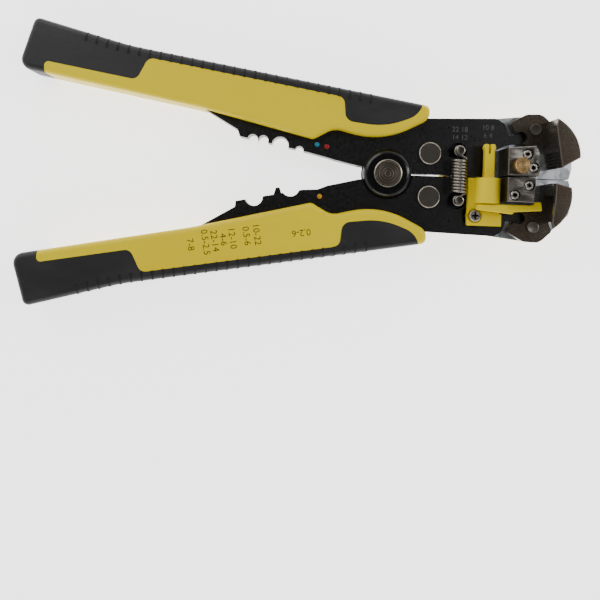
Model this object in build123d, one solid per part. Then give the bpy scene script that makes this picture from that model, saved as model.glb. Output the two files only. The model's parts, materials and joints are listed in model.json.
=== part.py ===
from build123d import *
import math
import os

# Self-adjusting wire stripper, 8 inch class. Sizes in millimetres.
# The main pivot axis is the frame's Z axis. +X points to the jaws and +Y to the upper handle.
# The tool lies on its back on the plane z = 0, with its front face up. It is stored open:
# handles apart, arms together and both swing jaws off their blocks.

# ---------------------------------------------------------------- driving sizes
GRIP_REACH = 139.2        # pivot axis to the tail of the grips
HEAD_REACH = 70.3         # pivot axis to the tip of the arms
GRIP_T = 15.2             # grips, front to back
ARM_T = 3.0               # zinc-plated arms
PLATE_T = 2.0             # front and rear handle plates
HUB_T = 1.4               # thinned hubs of the lower handle's plates
BOSS_T = 2.6              # raised boss of the upper handle's plates
LAYER_GAP = 0.1           # air between two flat layers that slide on each other
FIT_GAP = 0.05            # radial running clearance of a pin in its bore
AIR = 0.3                 # least air between curved faces that move past each other

PIVOT_R = 3.5             # main pivot shank
PIVOT_HEAD_R = 5.3
PIVOT_HEAD_T = 1.5
ARM_HUB_R = 8.5
PLATE_HUB_R = 6.6
SLIT_X = 22.6             # end of the slit between the two sides, in front of the pivot
SLIT_GAP = 0.6            # width of the slit
SIDE_GAP = 0.24           # between the two sides beyond the slit
BOSS_R = 9.2

DRIVE_X, DRIVE_Y = 15.9, 8.2      # drive rivets, on the upper side
DRIVE_R = 2.5
DRIVE_HEAD_R = 4.25
DRIVE_HEAD_T = 1.0

JAW_PIN_X, JAW_PIN_Y = 54.6, 18.3  # swing jaw pins, on the upper side
JAW_PIN_R = 2.3
JAW_PIN_TAIL_R = 2.7
JAW_PIN_TAIL_T = 1.1
JAW_BODY_T = 4.6          # flat part of a swing jaw
JAW_HEAD_T = 17.0         # swing jaw from the arm to the front of its head
FINGER_X, FINGER_Y = 49.2, 14.9    # centre of a handle finger's round end, on the upper side
FINGER_R = 1.9
UPPER_JAW_CLOSE = 21.5    # degrees
LOWER_JAW_CLOSE = 17.5
CLOSING_ANGLE = 24.0      # between the handles, from open to the crimp edges meeting

BLOCK_H = 13.0            # blocks, from the arm to their front faces
BLOCK_X0 = 42.4           # left side of both blocks
BLOCK_GAP = 0.6           # between the two blocks
TOOTH_PITCH = 1.2
TOOTH_DEPTH = 0.65
BLOCK_FACE_X = 54.0        # toothed side of the gripping block
BLOCK_SCREW_R = 1.6
BLOCK_SCREW_SHANK_R = 0.9
COUNTERBORE_T = 1.8
UPPER_SCREWS = [(49.4, 8.2), (51.6, 3.4)]
LOWER_SCREWS = [(50.3, 3.1), (45.2, 6.8)]     # on the upper side, mirrored with their block
BLADE_T = 0.8
BLADE_EDGE = 0.15         # how far the block's blade stands out of it

KNOB_X, KNOB_Y = 46.7, 3.9
KNOB_R = 2.95
KNOB_H = 3.2
KNOB_SHANK_R = 1.2
KNOB_RIBS = 24

POST_X, POST_Y = 26.4, 9.2         # front spring posts, on the upper side
POST_R = 1.7
POST_NECK_R = 1.2
SPRING_R = 2.65           # front spring, centre of the wire
WIRE_R = 0.48
SPRING_COILS = 11
SPRING_BODY = 12.4        # length of the coiled part
REAR_POST_X, REAR_POST_Y = 31.0, 7.4
REAR_POST_R = 1.3
REAR_NECK_R = 0.85
REAR_SPRING_R = 1.55
REAR_WIRE_R = 0.35
REAR_COILS = 10
REAR_SPRING_BODY = 8.0

COVER_X0 = 21.5           # edge of the rear covers nearest the pivot
COVER_WALL = 1.6
COVER_RIM = 2.2
COVER_SCREWS = [(36.5, 15.2), (55.2, 6.0)]
COVER_SCREW_R = 1.1
COVER_BOSS_R = 2.2
TONGUE_IN_R, TONGUE_OUT_R = 61.2, 66.5
GUIDE_IN_R, GUIDE_OUT_R = 43.5, 50.3
GUIDE_T = 2.0             # tongue and guide bar
GUIDE_RIVET_R = 1.4
PLATE_RIVET_X, PLATE_RIVET_Y = -45.0, 23.5
TAIL_RIVET_IN = 39.2      # second plate rivet, from the tail of the grip
PLATE_RIVET_R = 2.0

BAND_W = 3.4              # soft band along the outer edge of a grip
GRIP_EDGE_R = 2.0         # rounding of a grip's long edges

STOP_X = 37.1             # centre line of the length stop's slider
STOP_W = 3.6              # slider post, across
STOP_H = 3.2              # slider post, front to back
STOP_TRAVEL = 10.0
STOP_FIT = 0.15           # clearance of the slider in its bracket
STOP_PLATE_T = 1.8
STOP_SCREW_X, STOP_SCREW_Y = 32.9, -14.7
STOP_SCREW_R = 2.2
STOP_SHANK_R = 1.3
STOP_FOOT_R = 2.6
STOP_TOP_Y, STOP_BARREL_Y, STOP_BOTTOM_Y = -0.6, -10.0, -18.4

# Round bites cut in the crimp edges, as (x, y, radius) on the upper side.
UPPER_BITES = [(-51.0, 11.2, 2.0), (-47.0, 11.0, 1.9), (-40.6, 9.4, 3.2), (-33.3, 7.7, 1.6)]
LOWER_BITES = [(-49.9, 10.4, 3.4), (-36.2, 6.3, 3.5)]

# Heads of the swing jaws on the upper side: outer top, bulge and tip, then inner tip, middle and top.
UPPER_HEAD = [(58.6, 21.0), (64.9, 15.0), (67.0, 7.2), (60.5, 3.4), (59.2, 11.0), (58.0, 18.5)]
LOWER_HEAD = [(58.0, 18.4), (63.3, 11.8), (64.1, 3.5), (58.5, 2.2), (58.3, 8.0), (57.4, 16.0)]
UPPER_HEEL = (59.8, 12.3, 0)
LOWER_HEEL = (58.6, 12.0, 0)

# ---------------------------------------------------------------- sizes that follow
MID_Z = GRIP_T / 2                          # middle of the arms, and of the whole stack
ARM_Z0 = MID_Z - ARM_T / 2
ARM_Z1 = MID_Z + ARM_T / 2
PLATE_Z0 = ARM_Z1 + LAYER_GAP               # front handle plates; the rear ones are mirrored
PLATE_Z1 = PLATE_Z0 + PLATE_T
BOSS_Z0 = PLATE_Z0 + HUB_T + LAYER_GAP
BOSS_Z1 = BOSS_Z0 + BOSS_T
HEAD_Z0 = BOSS_Z1 + LAYER_GAP
REAR_PLATE_Z0 = 2 * MID_Z - PLATE_Z1
JAW_Z0 = ARM_Z1 + LAYER_GAP
JAW_BODY_Z1 = JAW_Z0 + JAW_BODY_T
JAW_Z1 = JAW_Z0 + JAW_HEAD_T
BLOCK_Z1 = ARM_Z1 + BLOCK_H
GUIDE_Z1 = ARM_Z0 - LAYER_GAP
GUIDE_Z0 = GUIDE_Z1 - GUIDE_T
SPRING_Z = PLATE_Z1 + SPRING_R + WIRE_R + AIR
REAR_SPRING_Z = ARM_Z0 - REAR_SPRING_R - REAR_WIRE_R - AIR
MIRROR_Z = Plane.XY.offset(MID_Z)
COUNTERBORE_R = BLOCK_SCREW_R + 0.35
STOP_Z0 = PLATE_Z1 + LAYER_GAP + 0.2        # underside of the bracket
STOP_Z1 = STOP_Z0 + STOP_PLATE_T
STOP_POST_Z0 = STOP_Z1 + STOP_FIT + 0.25
STOP_BARREL_R = STOP_W / 2 + 2.8
STOP_SCREW_TOP = STOP_Z1 + 1.1

DRIVE_REACH = math.hypot(DRIVE_X, DRIVE_Y)
FINGER_REACH = math.hypot(FINGER_X, FINGER_Y)
LEVER = math.hypot(JAW_PIN_X - FINGER_X, JAW_PIN_Y - FINGER_Y)
UPPER_HANDLE_LEAD = UPPER_JAW_CLOSE * LEVER / FINGER_REACH
LOWER_HANDLE_LEAD = LOWER_JAW_CLOSE * LEVER / FINGER_REACH
ARM_SPREAD = CLOSING_ANGLE - UPPER_HANDLE_LEAD - LOWER_HANDLE_LEAD
ARM_HOLE_R = DRIVE_R + DRIVE_REACH * math.radians(UPPER_HANDLE_LEAD) + AIR
POST_HOLE_R = POST_R + math.hypot(POST_X, POST_Y) * math.radians(UPPER_HANDLE_LEAD) + AIR

# Long edges of the upper grip. The inner one bends once, the outer one is straight up to a
# flare at the tail.
HOOK_X, HOOK_Y = -28.2, 11.9
BEND_X, BEND_Y = -72.0, 22.5
NOSE_X, NOSE_Y = 15.0, 25.7
TAIL_SLOPE = 0.189
OUTER_SLOPE = 0.1673
TAIL_FLARE = 3.6
FLARE_LENGTH = 41.0


# ---------------------------------------------------------------- shaping helpers
def outline(corners):
    """Closed face through corners given as (x, y, corner radius)."""
    points = [(x, y) for x, y, _ in corners]
    radii = [radius for _, _, radius in corners]
    return make_face(FilletPolyline(*points, radius=radii, close=True))


def slab(face, z0, z1):
    """Flat piece between two heights."""
    return extrude(Pos(0, 0, z0) * face, z1 - z0)


def disc(x, y, radius, z0, z1):
    """Upright cylinder between two heights."""
    return Pos(x, y, (z0 + z1) / 2) * Cylinder(radius, z1 - z0)


def block(x0, x1, y0, y1, z0, z1):
    """Box between two corners."""
    return Pos((x0 + x1) / 2, (y0 + y1) / 2, (z0 + z1) / 2) * Box(x1 - x0, y1 - y0, z1 - z0)


def sector(inner_r, outer_r, start, end, z0, z1):
    """Flat ring sector about the main pivot, from start to end in degrees."""
    ring = disc(0, 0, outer_r, z0, z1) - disc(0, 0, inner_r, z0 - 1, z1 + 1)
    reach = 2 * outer_r
    middle = math.radians((start + end) / 2)
    edges = [math.radians(start), math.radians(end)]
    rays = [(reach * math.cos(angle), reach * math.sin(angle)) for angle in edges]
    far = (2 * reach * math.cos(middle), 2 * reach * math.sin(middle))
    wedge = make_face(Polyline((0, 0), rays[0], far, rays[1], close=True))
    return ring & slab(wedge, z0 - 1, z1 + 1)


def front_edges(part, z):
    """Edges of a part that lie in the plane at height z."""
    return [edge for edge in part.edges() if abs(edge.center().Z - z) < 1e-4]


def lower(part):
    """The lower handle's side of a part drawn on the upper side."""
    return mirror(part, about=Plane.XZ)


def rear(part):
    """The rear copy of a part drawn at the front."""
    return mirror(part, about=MIRROR_Z)


def turned(part, x, y, angle):
    """A part turned about the upright axis at (x, y)."""
    return Pos(x, y, 0) * Rot(0, 0, angle) * Pos(-x, -y, 0) * part


# ---------------------------------------------------------------- arms
def arm_outline(inset=0.0):
    """Upper arm seen from the front, or that outline moved inwards."""
    tip = HEAD_REACH
    face = outline([
        (-2.0, SLIT_GAP / 2, 0), (SLIT_X, SLIT_GAP / 2, 0), (SLIT_X + 0.8, SIDE_GAP / 2, 0),
        (tip - 1.1, SIDE_GAP / 2, 0.5), (tip, 4.5, 3.0), (tip - 0.6, 13.0, 4.0),
        (tip - 9.9, 22.2, 5.0), (JAW_PIN_X - 1.5, 23.8, 8.0), (41.0, 22.4, 4.0),
        (33.0, 19.0, 6.0), (12.0, 17.2, 6.0), (-2.0, 8.0, 1.0)])
    return offset(face, -inset) if inset else face


def plain_arm(hub_in_front):
    """One arm with a half-thickness hub, drawn on the upper side."""
    plate = slab(arm_outline(), ARM_Z0, ARM_Z1)
    step = LAYER_GAP / 2
    if hub_in_front:
        hub_z0, hub_z1 = MID_Z + step, ARM_Z1
        plate -= disc(0, 0, ARM_HUB_R + AIR, ARM_Z0 - 1, hub_z0)
    else:
        hub_z0, hub_z1 = ARM_Z0, MID_Z - step
        plate -= disc(0, 0, ARM_HUB_R + AIR, hub_z1, ARM_Z1 + 1)
    plate += disc(0, 0, ARM_HUB_R, hub_z0, hub_z1)
    plate -= disc(0, 0, PIVOT_R + FIT_GAP, ARM_Z0 - 1, ARM_Z1 + 1)
    plate -= disc(DRIVE_X, DRIVE_Y, ARM_HOLE_R, ARM_Z0 - 1, ARM_Z1 + 1)
    plate -= disc(JAW_PIN_X, JAW_PIN_Y, JAW_PIN_R, ARM_Z0 - 1, ARM_Z1 + 1)
    plate -= disc(POST_X, POST_Y, POST_R, ARM_Z0 - 1, ARM_Z1 + 1)
    plate -= disc(REAR_POST_X, REAR_POST_Y, REAR_POST_R, ARM_Z0 - 1, ARM_Z1 + 1)
    for x, y in COVER_SCREWS:
        plate -= disc(x, y, COVER_SCREW_R, ARM_Z0 - 1, ARM_Z1 + 1)
    return plate


def cavity(z0, z1):
    """Space inside the rim of an upper rear cover."""
    return slab(arm_outline(COVER_RIM + AIR), z0, z1)


def make_upper_arm():
    """Upper arm with the tongue that slides behind the lower arm."""
    arm = plain_arm(hub_in_front=True)
    for x, y in UPPER_SCREWS:
        arm -= disc(x, y, BLOCK_SCREW_SHANK_R, ARM_Z0 - 1, ARM_Z1 + 1)
    arm -= disc(KNOB_X, KNOB_Y, KNOB_SHANK_R + FIT_GAP, ARM_Z0 - 1, ARM_Z1 + 1)
    tongue = sector(TONGUE_IN_R, TONGUE_OUT_R, -ARM_SPREAD, 12, GUIDE_Z0, GUIDE_Z1)
    room = cavity(GUIDE_Z0 - 1, ARM_Z1) + block(0, HEAD_REACH - 3.6, -3, 3, GUIDE_Z0 - 1, ARM_Z1)
    room += lower(cavity(GUIDE_Z0 - 1, ARM_Z1))
    root = sector(TONGUE_IN_R, TONGUE_OUT_R, 1.5, 12, GUIDE_Z0, ARM_Z0 + 0.5)
    return arm + (tongue & room) + (root & room)


def make_lower_arm():
    """Lower arm with the holes of its block, guide bar and stop."""
    arm = plain_arm(hub_in_front=False)
    for x, y in LOWER_SCREWS:
        arm -= disc(x, y, BLOCK_SCREW_SHANK_R, ARM_Z0 - 1, ARM_Z1 + 1)
    for x, y in guide_rivet_places():
        arm -= disc(x, y, GUIDE_RIVET_R, ARM_Z0 - 1, ARM_Z1 + 1)
    arm -= disc(STOP_SCREW_X, -STOP_SCREW_Y, STOP_SHANK_R, ARM_Z0 - 1, ARM_Z1 + 1)
    return lower(arm)


# ---------------------------------------------------------------- pivot, rivets, pins, posts
def make_main_pivot():
    """Main rivet: turned head in front, wider tail that the tool rests on."""
    shank = disc(0, 0, PIVOT_R, 1.0, HEAD_Z0 + 0.5)
    head = disc(0, 0, PIVOT_HEAD_R, HEAD_Z0, HEAD_Z0 + PIVOT_HEAD_T)
    head = chamfer(front_edges(head, HEAD_Z0 + PIVOT_HEAD_T), 0.35)
    tail = disc(0, 0, PIVOT_HEAD_R, 0, 2 * MID_Z - HEAD_Z0)
    tail = chamfer(front_edges(tail, 0), 0.35)
    return shank + head + tail


def make_drive_rivet():
    """Large rivet that joins an upper handle's plates through a wide hole in the arm."""
    top = PLATE_Z1 + DRIVE_HEAD_T
    shank = disc(DRIVE_X, DRIVE_Y, DRIVE_R, REAR_PLATE_Z0, PLATE_Z1)
    head = disc(DRIVE_X, DRIVE_Y, DRIVE_HEAD_R, PLATE_Z1, top)
    head = chamfer(front_edges(head, top), 0.3)
    return shank + head + rear(head)


def make_jaw_pin():
    """Pin of a swing jaw: flanged tail behind the arm, flush head in front of the jaw."""
    top = JAW_BODY_Z1 + 0.4
    pin = disc(JAW_PIN_X, JAW_PIN_Y, JAW_PIN_R, ARM_Z0, top)
    pin = chamfer(front_edges(pin, top), 0.3)
    return pin + disc(JAW_PIN_X, JAW_PIN_Y, JAW_PIN_TAIL_R, ARM_Z0 - JAW_PIN_TAIL_T, ARM_Z0)


def make_post(x, y, radius, neck_r, neck_z, wire_r, z0, z1):
    """Spring post with a waist that the hook of the spring sits in."""
    post = disc(x, y, radius, z0, z1)
    waist = wire_r + 2 * FIT_GAP
    ring = disc(x, y, radius + 1, neck_z - waist, neck_z + waist)
    ring -= disc(x, y, neck_r, neck_z - waist - 1, neck_z + waist + 1)
    return post - ring


def make_spring(x, post_y, z, coil_r, wire_r, coils, body, neck_r):
    """Extension spring along Y with a ring at each end round a post."""
    pitch = body / coils
    coil = Helix(
        pitch=pitch, height=body, radius=coil_r, center=(x, -body / 2, z), direction=(0, 1, 0))
    start = Plane(origin=coil @ 0, z_dir=coil % 0)
    spring = sweep(start * Circle(wire_r), path=coil, is_frenet=True)
    eye_r = neck_r + wire_r + FIT_GAP
    for end, side in ((coil @ 0, -1), (coil @ 1, 1)):
        eye_y = side * post_y
        spring += Pos(x, eye_y, z) * Torus(eye_r, wire_r)
        near = Vector(x, eye_y - side * (eye_r + wire_r / 2), z)
        link = near - end
        spring += Plane(origin=(near + end) * 0.5, z_dir=link) * Cylinder(wire_r, link.length)
        spring += Pos(end.X, end.Y, end.Z) * Sphere(wire_r)
    return spring


# ---------------------------------------------------------------- handle plates
def inner_y(x):
    """Inner edge of the upper grip towards its tail."""
    return BEND_Y + (BEND_X - x) * TAIL_SLOPE


def outer_y(x):
    """Straight outer edge of the upper grip."""
    return NOSE_Y + (NOSE_X - x) * OUTER_SLOPE


def finger_outline(air=0.0):
    """Round-ended finger of the upper handle, with its neck."""
    half = FINGER_R - 0.2 + air
    neck = make_face(Polyline(
        (FINGER_X, FINGER_Y - half - 0.1), (FINGER_X, FINGER_Y + half), (43.0, FINGER_Y + half - 1.0),
        (43.0, FINGER_Y - half - 1.0), close=True))
    return neck + Pos(FINGER_X, FINGER_Y) * Circle(FINGER_R + air)


def plate_rivet_places():
    """Rivets that hold an upper handle's plates together, the second one near the tail."""
    tail_x = TAIL_RIVET_IN - GRIP_REACH
    return [(PLATE_RIVET_X, PLATE_RIVET_Y), (tail_x, inner_y(tail_x) + 7.7)]


def plate_outline(crimp_edge):
    """Upper handle plate from inside the grip's tail to the finger, through a crimp edge."""
    tail = -GRIP_REACH + 13.2
    body = outline([(tail, inner_y(tail) + 4.0, 2.0), (-74.0, 24.6, 0)] + crimp_edge + [
        (-6.6, 1.85, 0), (-5.5, SLIT_GAP / 2, 0), (SLIT_X, SLIT_GAP / 2, 0),
        (SLIT_X + 0.8, SIDE_GAP / 2, 0), (35.6, SIDE_GAP / 2, 0), (38.2, 6.0, 2.0), (40.4, 10.2, 3.0),
        (45.0, 12.3, 0), (45.4, 16.0, 0.5), (43.7, 20.3, 1.5), (40.8, 22.2, 2.0), (15.4, 21.4, 0),
        (5.0, 22.4, 0), (-20.0, 25.6, 0), (BEND_X, outer_y(BEND_X) - BAND_W - 2.6, 0),
        (tail, outer_y(tail) - BAND_W - 1.6, 2.0)])
    return body + finger_outline()


def upper_crimp_edge():
    """Straight crimp edge of the upper plates."""
    return [
        (-56.8, 14.8, 0.4), (-56.0, 12.3, 0.3), (-31.2, 7.35, 0.4), (-23.0, 5.4, 2.0),
        (-19.7, 4.5, 2.0), (-11.7, 2.75, 0.5)]


def lower_crimp_edge():
    """Crimp edge of the lower plates, drawn on the upper side, with its one tall tooth."""
    return [
        (-56.8, 14.4, 0.4), (-56.6, 12.2, 0.3), (-42.4, 9.3, 0), (-41.7, 6.7, 0.3), (-40.3, 6.5, 0.3),
        (-39.6, 8.7, 0), (-31.6, 7.15, 0.4), (-26.0, 6.8, 1.0), (-22.3, 5.3, 1.0), (-11.0, 2.6, 0.5)]


def plate_stack(crimp_edge, bites, z0, z1):
    """Handle plate with its crimp notches, between two heights."""
    plate = slab(plate_outline(crimp_edge), z0, z1)
    for x, y, radius in bites:
        plate -= disc(x, y, radius, z0 - 1, z1 + 1)
    for x, y in plate_rivet_places():
        plate -= disc(x, y, PLATE_RIVET_R, z0 - 1, z1 + 1)
    return plate


def handle_holes(z0, z1):
    """Holes of the front plates: drive rivet, spring post and main pivot."""
    holes = disc(DRIVE_X, DRIVE_Y, DRIVE_R, z0, z1) + disc(POST_X, POST_Y, POST_HOLE_R, z0, z1)
    return holes + disc(0, 0, PIVOT_R + FIT_GAP, z0, z1)


def make_upper_front_plate():
    """Front plate of the upper handle, with the raised boss round the pivot."""
    plate = plate_stack(upper_crimp_edge(), UPPER_BITES, PLATE_Z0, PLATE_Z1)
    plate -= disc(0, 0, PLATE_HUB_R + AIR, PLATE_Z0 - 1, BOSS_Z0)
    boss = disc(0, 0, BOSS_R, BOSS_Z0, BOSS_Z1)
    boss = fillet(front_edges(boss, BOSS_Z1), min(BOSS_T, BOSS_R - PIVOT_HEAD_R) * 0.85)
    return plate + boss - handle_holes(PLATE_Z0 - 1, BOSS_Z1 + 1)


def make_lower_front_plate():
    """Front plate of the lower handle, thinned where the upper boss covers it."""
    plate = plate_stack(lower_crimp_edge(), LOWER_BITES, PLATE_Z0, PLATE_Z1)
    plate -= disc(0, 0, BOSS_R + AIR, PLATE_Z0 + HUB_T, PLATE_Z1 + 1)
    plate += disc(0, 0, PLATE_HUB_R, PLATE_Z0, PLATE_Z0 + HUB_T)
    plate -= handle_holes(PLATE_Z0 - 1, BOSS_Z1 + 1)
    plate -= disc(STOP_SCREW_X, -STOP_SCREW_Y, stop_hole_r(), PLATE_Z0 - 1, PLATE_Z1 + 1)
    return lower(plate)


def rear_end_cut():
    """What a rear plate lacks of a front one: it ends round the drive rivet."""
    cut = block(DRIVE_X, HEAD_REACH, -1, 30, 0, BOSS_Z1 + 1)
    return cut - disc(DRIVE_X, DRIVE_Y, rear_end_r(), -1, BOSS_Z1 + 2)


def rear_end_r():
    """Radius of a rear plate's end, which stays clear of the deep rim of the cover."""
    return COVER_X0 + COVER_RIM - AIR - DRIVE_X


def make_upper_rear_plate():
    """Rear plate of the upper handle."""
    return rear(make_upper_front_plate() - rear_end_cut())


def make_lower_rear_plate():
    """Rear plate of the lower handle."""
    return rear(make_lower_front_plate() - lower(rear_end_cut()))


def make_crimp_plate(crimp_edge, bites):
    """Middle plate that fills the space between front and rear plates behind the pivot."""
    plate = plate_stack(crimp_edge, bites, PLATE_Z0 - ARM_T - 2 * LAYER_GAP, PLATE_Z0)
    keep = block(-GRIP_REACH, -ARM_HUB_R - 3.0, -5, 60, 0, GRIP_T)
    return plate & keep


def make_plate_rivets():
    """Rivets that hold the three plates together inside the grip."""
    rivets = [disc(x, y, PLATE_RIVET_R, REAR_PLATE_Z0, PLATE_Z1) for x, y in plate_rivet_places()]
    return Compound(children=[rivet.solid() for rivet in rivets])


# ---------------------------------------------------------------- grips
def grip_body():
    """Whole upper grip with rounded long edges, before it is split in two materials."""
    tail = -GRIP_REACH
    flare_x = tail + FLARE_LENGTH
    top_x = tail + 5.6
    face = outline([
        (NOSE_X, NOSE_Y, 2.3), (flare_x, outer_y(flare_x), 90.0),
        (top_x, outer_y(top_x) + TAIL_FLARE, 2.4), (tail - 0.2, inner_y(tail) - 0.2, 4.0),
        (BEND_X, BEND_Y, 160.0), (HOOK_X, HOOK_Y, 2.5), (-20.5, 16.2, 7.0), (-2.5, 11.8, 30.0),
        (NOSE_X, 20.7, 4.4)])
    body = slab(face, 0, GRIP_T)
    return fillet(front_edges(body, 0) + front_edges(body, GRIP_T), GRIP_EDGE_R)


def panel_outline():
    """Outline that parts the hard core from the soft sleeve."""
    tail = -GRIP_REACH + 10.0
    step = -GRIP_REACH + 46.0
    return outline([
        (tail, inner_y(tail) + 4.2, 1.5), (step - 1.5, inner_y(step) + 5.0, 3.0),
        (step + 2.7, outer_y(step) - BAND_W - 0.5, 3.0), (-17.2, outer_y(-17.2) - BAND_W, 3.0),
        (-16.4, 18.9, 3.5), (-1.5, 17.1, 27.0), (11.0, 22.0, 8.0), (13.0, NOSE_Y + 4, 0),
        (NOSE_X + 6, NOSE_Y + 4, 0), (NOSE_X + 6, 5.0, 0), (HOOK_X - 4, 5.0, 0),
        (tail, inner_y(tail) - 9, 0)])


def split_grip(plates):
    """Hard core and soft sleeve of a grip, hollow where the plates go in."""
    body = grip_body()
    for plate in plates:
        body -= plate
    for x, y in plate_rivet_places():
        body -= disc(x, y, PLATE_RIVET_R, REAR_PLATE_Z0, PLATE_Z1)
    prism = slab(panel_outline(), -1, GRIP_T + 1)
    return body & prism, body - prism


# ---------------------------------------------------------------- swing jaws
def swing_cut(jaw_close, handle_lead):
    """Room in an upper jaw for the finger and its neck, over the whole closing travel."""
    steps = 8
    cut = None
    for step in range(steps + 1):
        share = step / steps
        finger = slab(finger_outline(AIR + 0.05), JAW_Z0 - 1, JAW_BODY_Z1 + 1)
        finger = turned(finger, 0, 0, handle_lead * share)
        finger = turned(finger, JAW_PIN_X, JAW_PIN_Y, jaw_close * share)
        cut = finger if cut is None else cut + finger
    return cut


def jaw_body(heel):
    """Flat part of an upper swing jaw round its pin. heel is the corner under the head."""
    x, y = JAW_PIN_X, JAW_PIN_Y
    return outline([
        (x - 9.4, y + 2.2, 0.8), (x - 3.4, y + 5.5, 3.0), (x + 2.4, y + 5.7, 4.0), (x + 7.0, y + 1.4, 1.0),
        heel, (x - 3.4, y - 6.4, 0.6), (x - 4.9, y - 5.3, 0.4), (x - 7.6, y - 1.1, 0.6)])


def jaw_head(top, bulge, tip, inner_tip, inner_mid, inner_top):
    """Head of a swing jaw: curved outer face, straight end, inner face towards the block."""
    curve = ThreePointArc(top, bulge, tip)
    rest = Polyline(tip, inner_tip, inner_mid, inner_top, top)
    return make_face(Wire([*curve.edges(), *rest.edges()]))


def tooth_grooves(start, end, count, z0, z1):
    """Row of upright V grooves along a line from start towards end."""
    run = Vector(end[0] - start[0], end[1] - start[1], 0).normalized()
    side = TOOTH_DEPTH * math.sqrt(2)
    grooves = None
    for number in range(count):
        place = Vector(start[0], start[1], 0) + run * (TOOTH_PITCH * (number + 0.6))
        turn = Rot(0, 0, math.degrees(math.atan2(run.Y, run.X)) + 45)
        groove = Pos(place.X, place.Y, (z0 + z1) / 2) * turn * Box(side, side, z1 - z0)
        grooves = groove if grooves is None else grooves + groove
    return grooves


def make_upper_jaw():
    """Upper swing jaw with gripping teeth near its tip."""
    jaw = slab(jaw_body(UPPER_HEEL), JAW_Z0, JAW_BODY_Z1)
    head = slab(jaw_head(*UPPER_HEAD), JAW_Z0, JAW_Z1)
    head = chamfer(front_edges(head, JAW_Z1), 0.4)
    jaw += head
    jaw -= disc(JAW_PIN_X, JAW_PIN_Y, JAW_PIN_R + FIT_GAP, JAW_Z0 - 1, JAW_BODY_Z1 + 1)
    jaw -= swing_cut(UPPER_JAW_CLOSE, UPPER_HANDLE_LEAD)
    return jaw - tooth_grooves(UPPER_HEAD[3], UPPER_HEAD[4], 5, JAW_Z0 - 1, JAW_Z1 - 1.2)


def make_lower_jaw():
    """Lower swing jaw: smooth, hollowed behind its front lip, with a seat for its blade."""
    jaw = slab(jaw_body(LOWER_HEEL), JAW_Z0, JAW_BODY_Z1)
    head = slab(jaw_head(*LOWER_HEAD), JAW_Z0, JAW_Z1)
    head = chamfer(front_edges(head, JAW_Z1), 0.4)
    jaw += head
    jaw -= disc(JAW_PIN_X, JAW_PIN_Y, JAW_PIN_R + FIT_GAP, JAW_Z0 - 1, JAW_BODY_Z1 + 1)
    jaw -= swing_cut(LOWER_JAW_CLOSE, LOWER_HANDLE_LEAD)
    inner_x, inner_y_mid = LOWER_HEAD[4]
    jaw -= block(inner_x - 3, inner_x + 2.4, inner_y_mid - 1.6, JAW_PIN_Y + 3, JAW_BODY_Z1, JAW_Z1 - 1.7)
    jaw -= blade_on_jaw(0)
    return lower(jaw)


def blade_on_jaw(edge):
    """Blade let into the end of the lower jaw, drawn on the upper side, edge towards the block."""
    tip, inner = Vector(*LOWER_HEAD[2]), Vector(*LOWER_HEAD[3])
    run = (inner - tip).normalized()
    across = Vector(-run.Y, run.X) * -BLADE_T
    back = inner - run * 4.2
    front = inner + run * edge
    face = make_face(Polyline(
        (back.X, back.Y), (front.X, front.Y), (inner.X + across.X, inner.Y + across.Y),
        (back.X + across.X, back.Y + across.Y), close=True))
    return slab(face, JAW_BODY_Z1 + 1.0, JAW_Z1 - 3.0)


def make_jaw_blade():
    """Thin blade on the end of the lower jaw."""
    return lower(blade_on_jaw(0.35))


# ---------------------------------------------------------------- blocks, screws, knob
def screw_holes(places):
    """Counterbored holes of a block."""
    holes = None
    for x, y in places:
        hole = disc(x, y, BLOCK_SCREW_SHANK_R + FIT_GAP, ARM_Z1 - 1, BLOCK_Z1 + 1)
        hole += disc(x, y, COUNTERBORE_R, BLOCK_Z1 - COUNTERBORE_T, BLOCK_Z1 + 1)
        holes = hole if holes is None else holes + hole
    return holes


def make_block_screws(places):
    """Socket screws that hold a block on its arm, one solid each."""
    screws = []
    seat = BLOCK_Z1 - COUNTERBORE_T
    top = BLOCK_Z1 - 0.25
    for x, y in places:
        screw = chamfer(front_edges(disc(x, y, BLOCK_SCREW_R, seat, top), top), 0.25)
        screw += disc(x, y, BLOCK_SCREW_SHANK_R, ARM_Z0, seat)
        screw -= Pos(x, y, top - 0.9) * extrude(RegularPolygon(BLOCK_SCREW_R * 0.55, 6), 1)
        screws.append(screw.solid())
    return Compound(children=screws)


def make_gripping_block():
    """Upper block: teeth on the side that faces the upper jaw, bore for the tension knob."""
    face_x = BLOCK_FACE_X
    y0 = BLOCK_GAP / 2
    body = slab(outline([
        (BLOCK_X0, y0, 0), (face_x - 0.6, y0, 0), (face_x, y0 + 0.8, 0), (face_x, 9.0, 0),
        (face_x - 1.5, 11.3, 0), (BLOCK_X0, 10.4, 0)]), ARM_Z1, BLOCK_Z1)
    body = chamfer(front_edges(body, BLOCK_Z1), 0.3)
    body -= tooth_grooves((face_x, y0 + 0.6), (face_x, 12), 7, ARM_Z1 - 1, BLOCK_Z1 + 1)
    body -= disc(KNOB_X, KNOB_Y, KNOB_SHANK_R + FIT_GAP, ARM_Z1 - 1, BLOCK_Z1 + 1)
    return body - screw_holes(UPPER_SCREWS)


def make_cutting_block():
    """Lower block with a slanted side towards the lower jaw and a seat for its blade."""
    y0 = BLOCK_GAP / 2
    body = slab(outline([
        (BLOCK_X0, y0, 0), (52.4, y0, 0), (53.0, y0 + 0.8, 0), (52.2, 9.3, 0), (BLOCK_X0, 9.2, 0)]),
        ARM_Z1, BLOCK_Z1)
    body = chamfer(front_edges(body, BLOCK_Z1), 0.3)
    body -= block_blade()
    return lower(body - screw_holes(LOWER_SCREWS))


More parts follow.
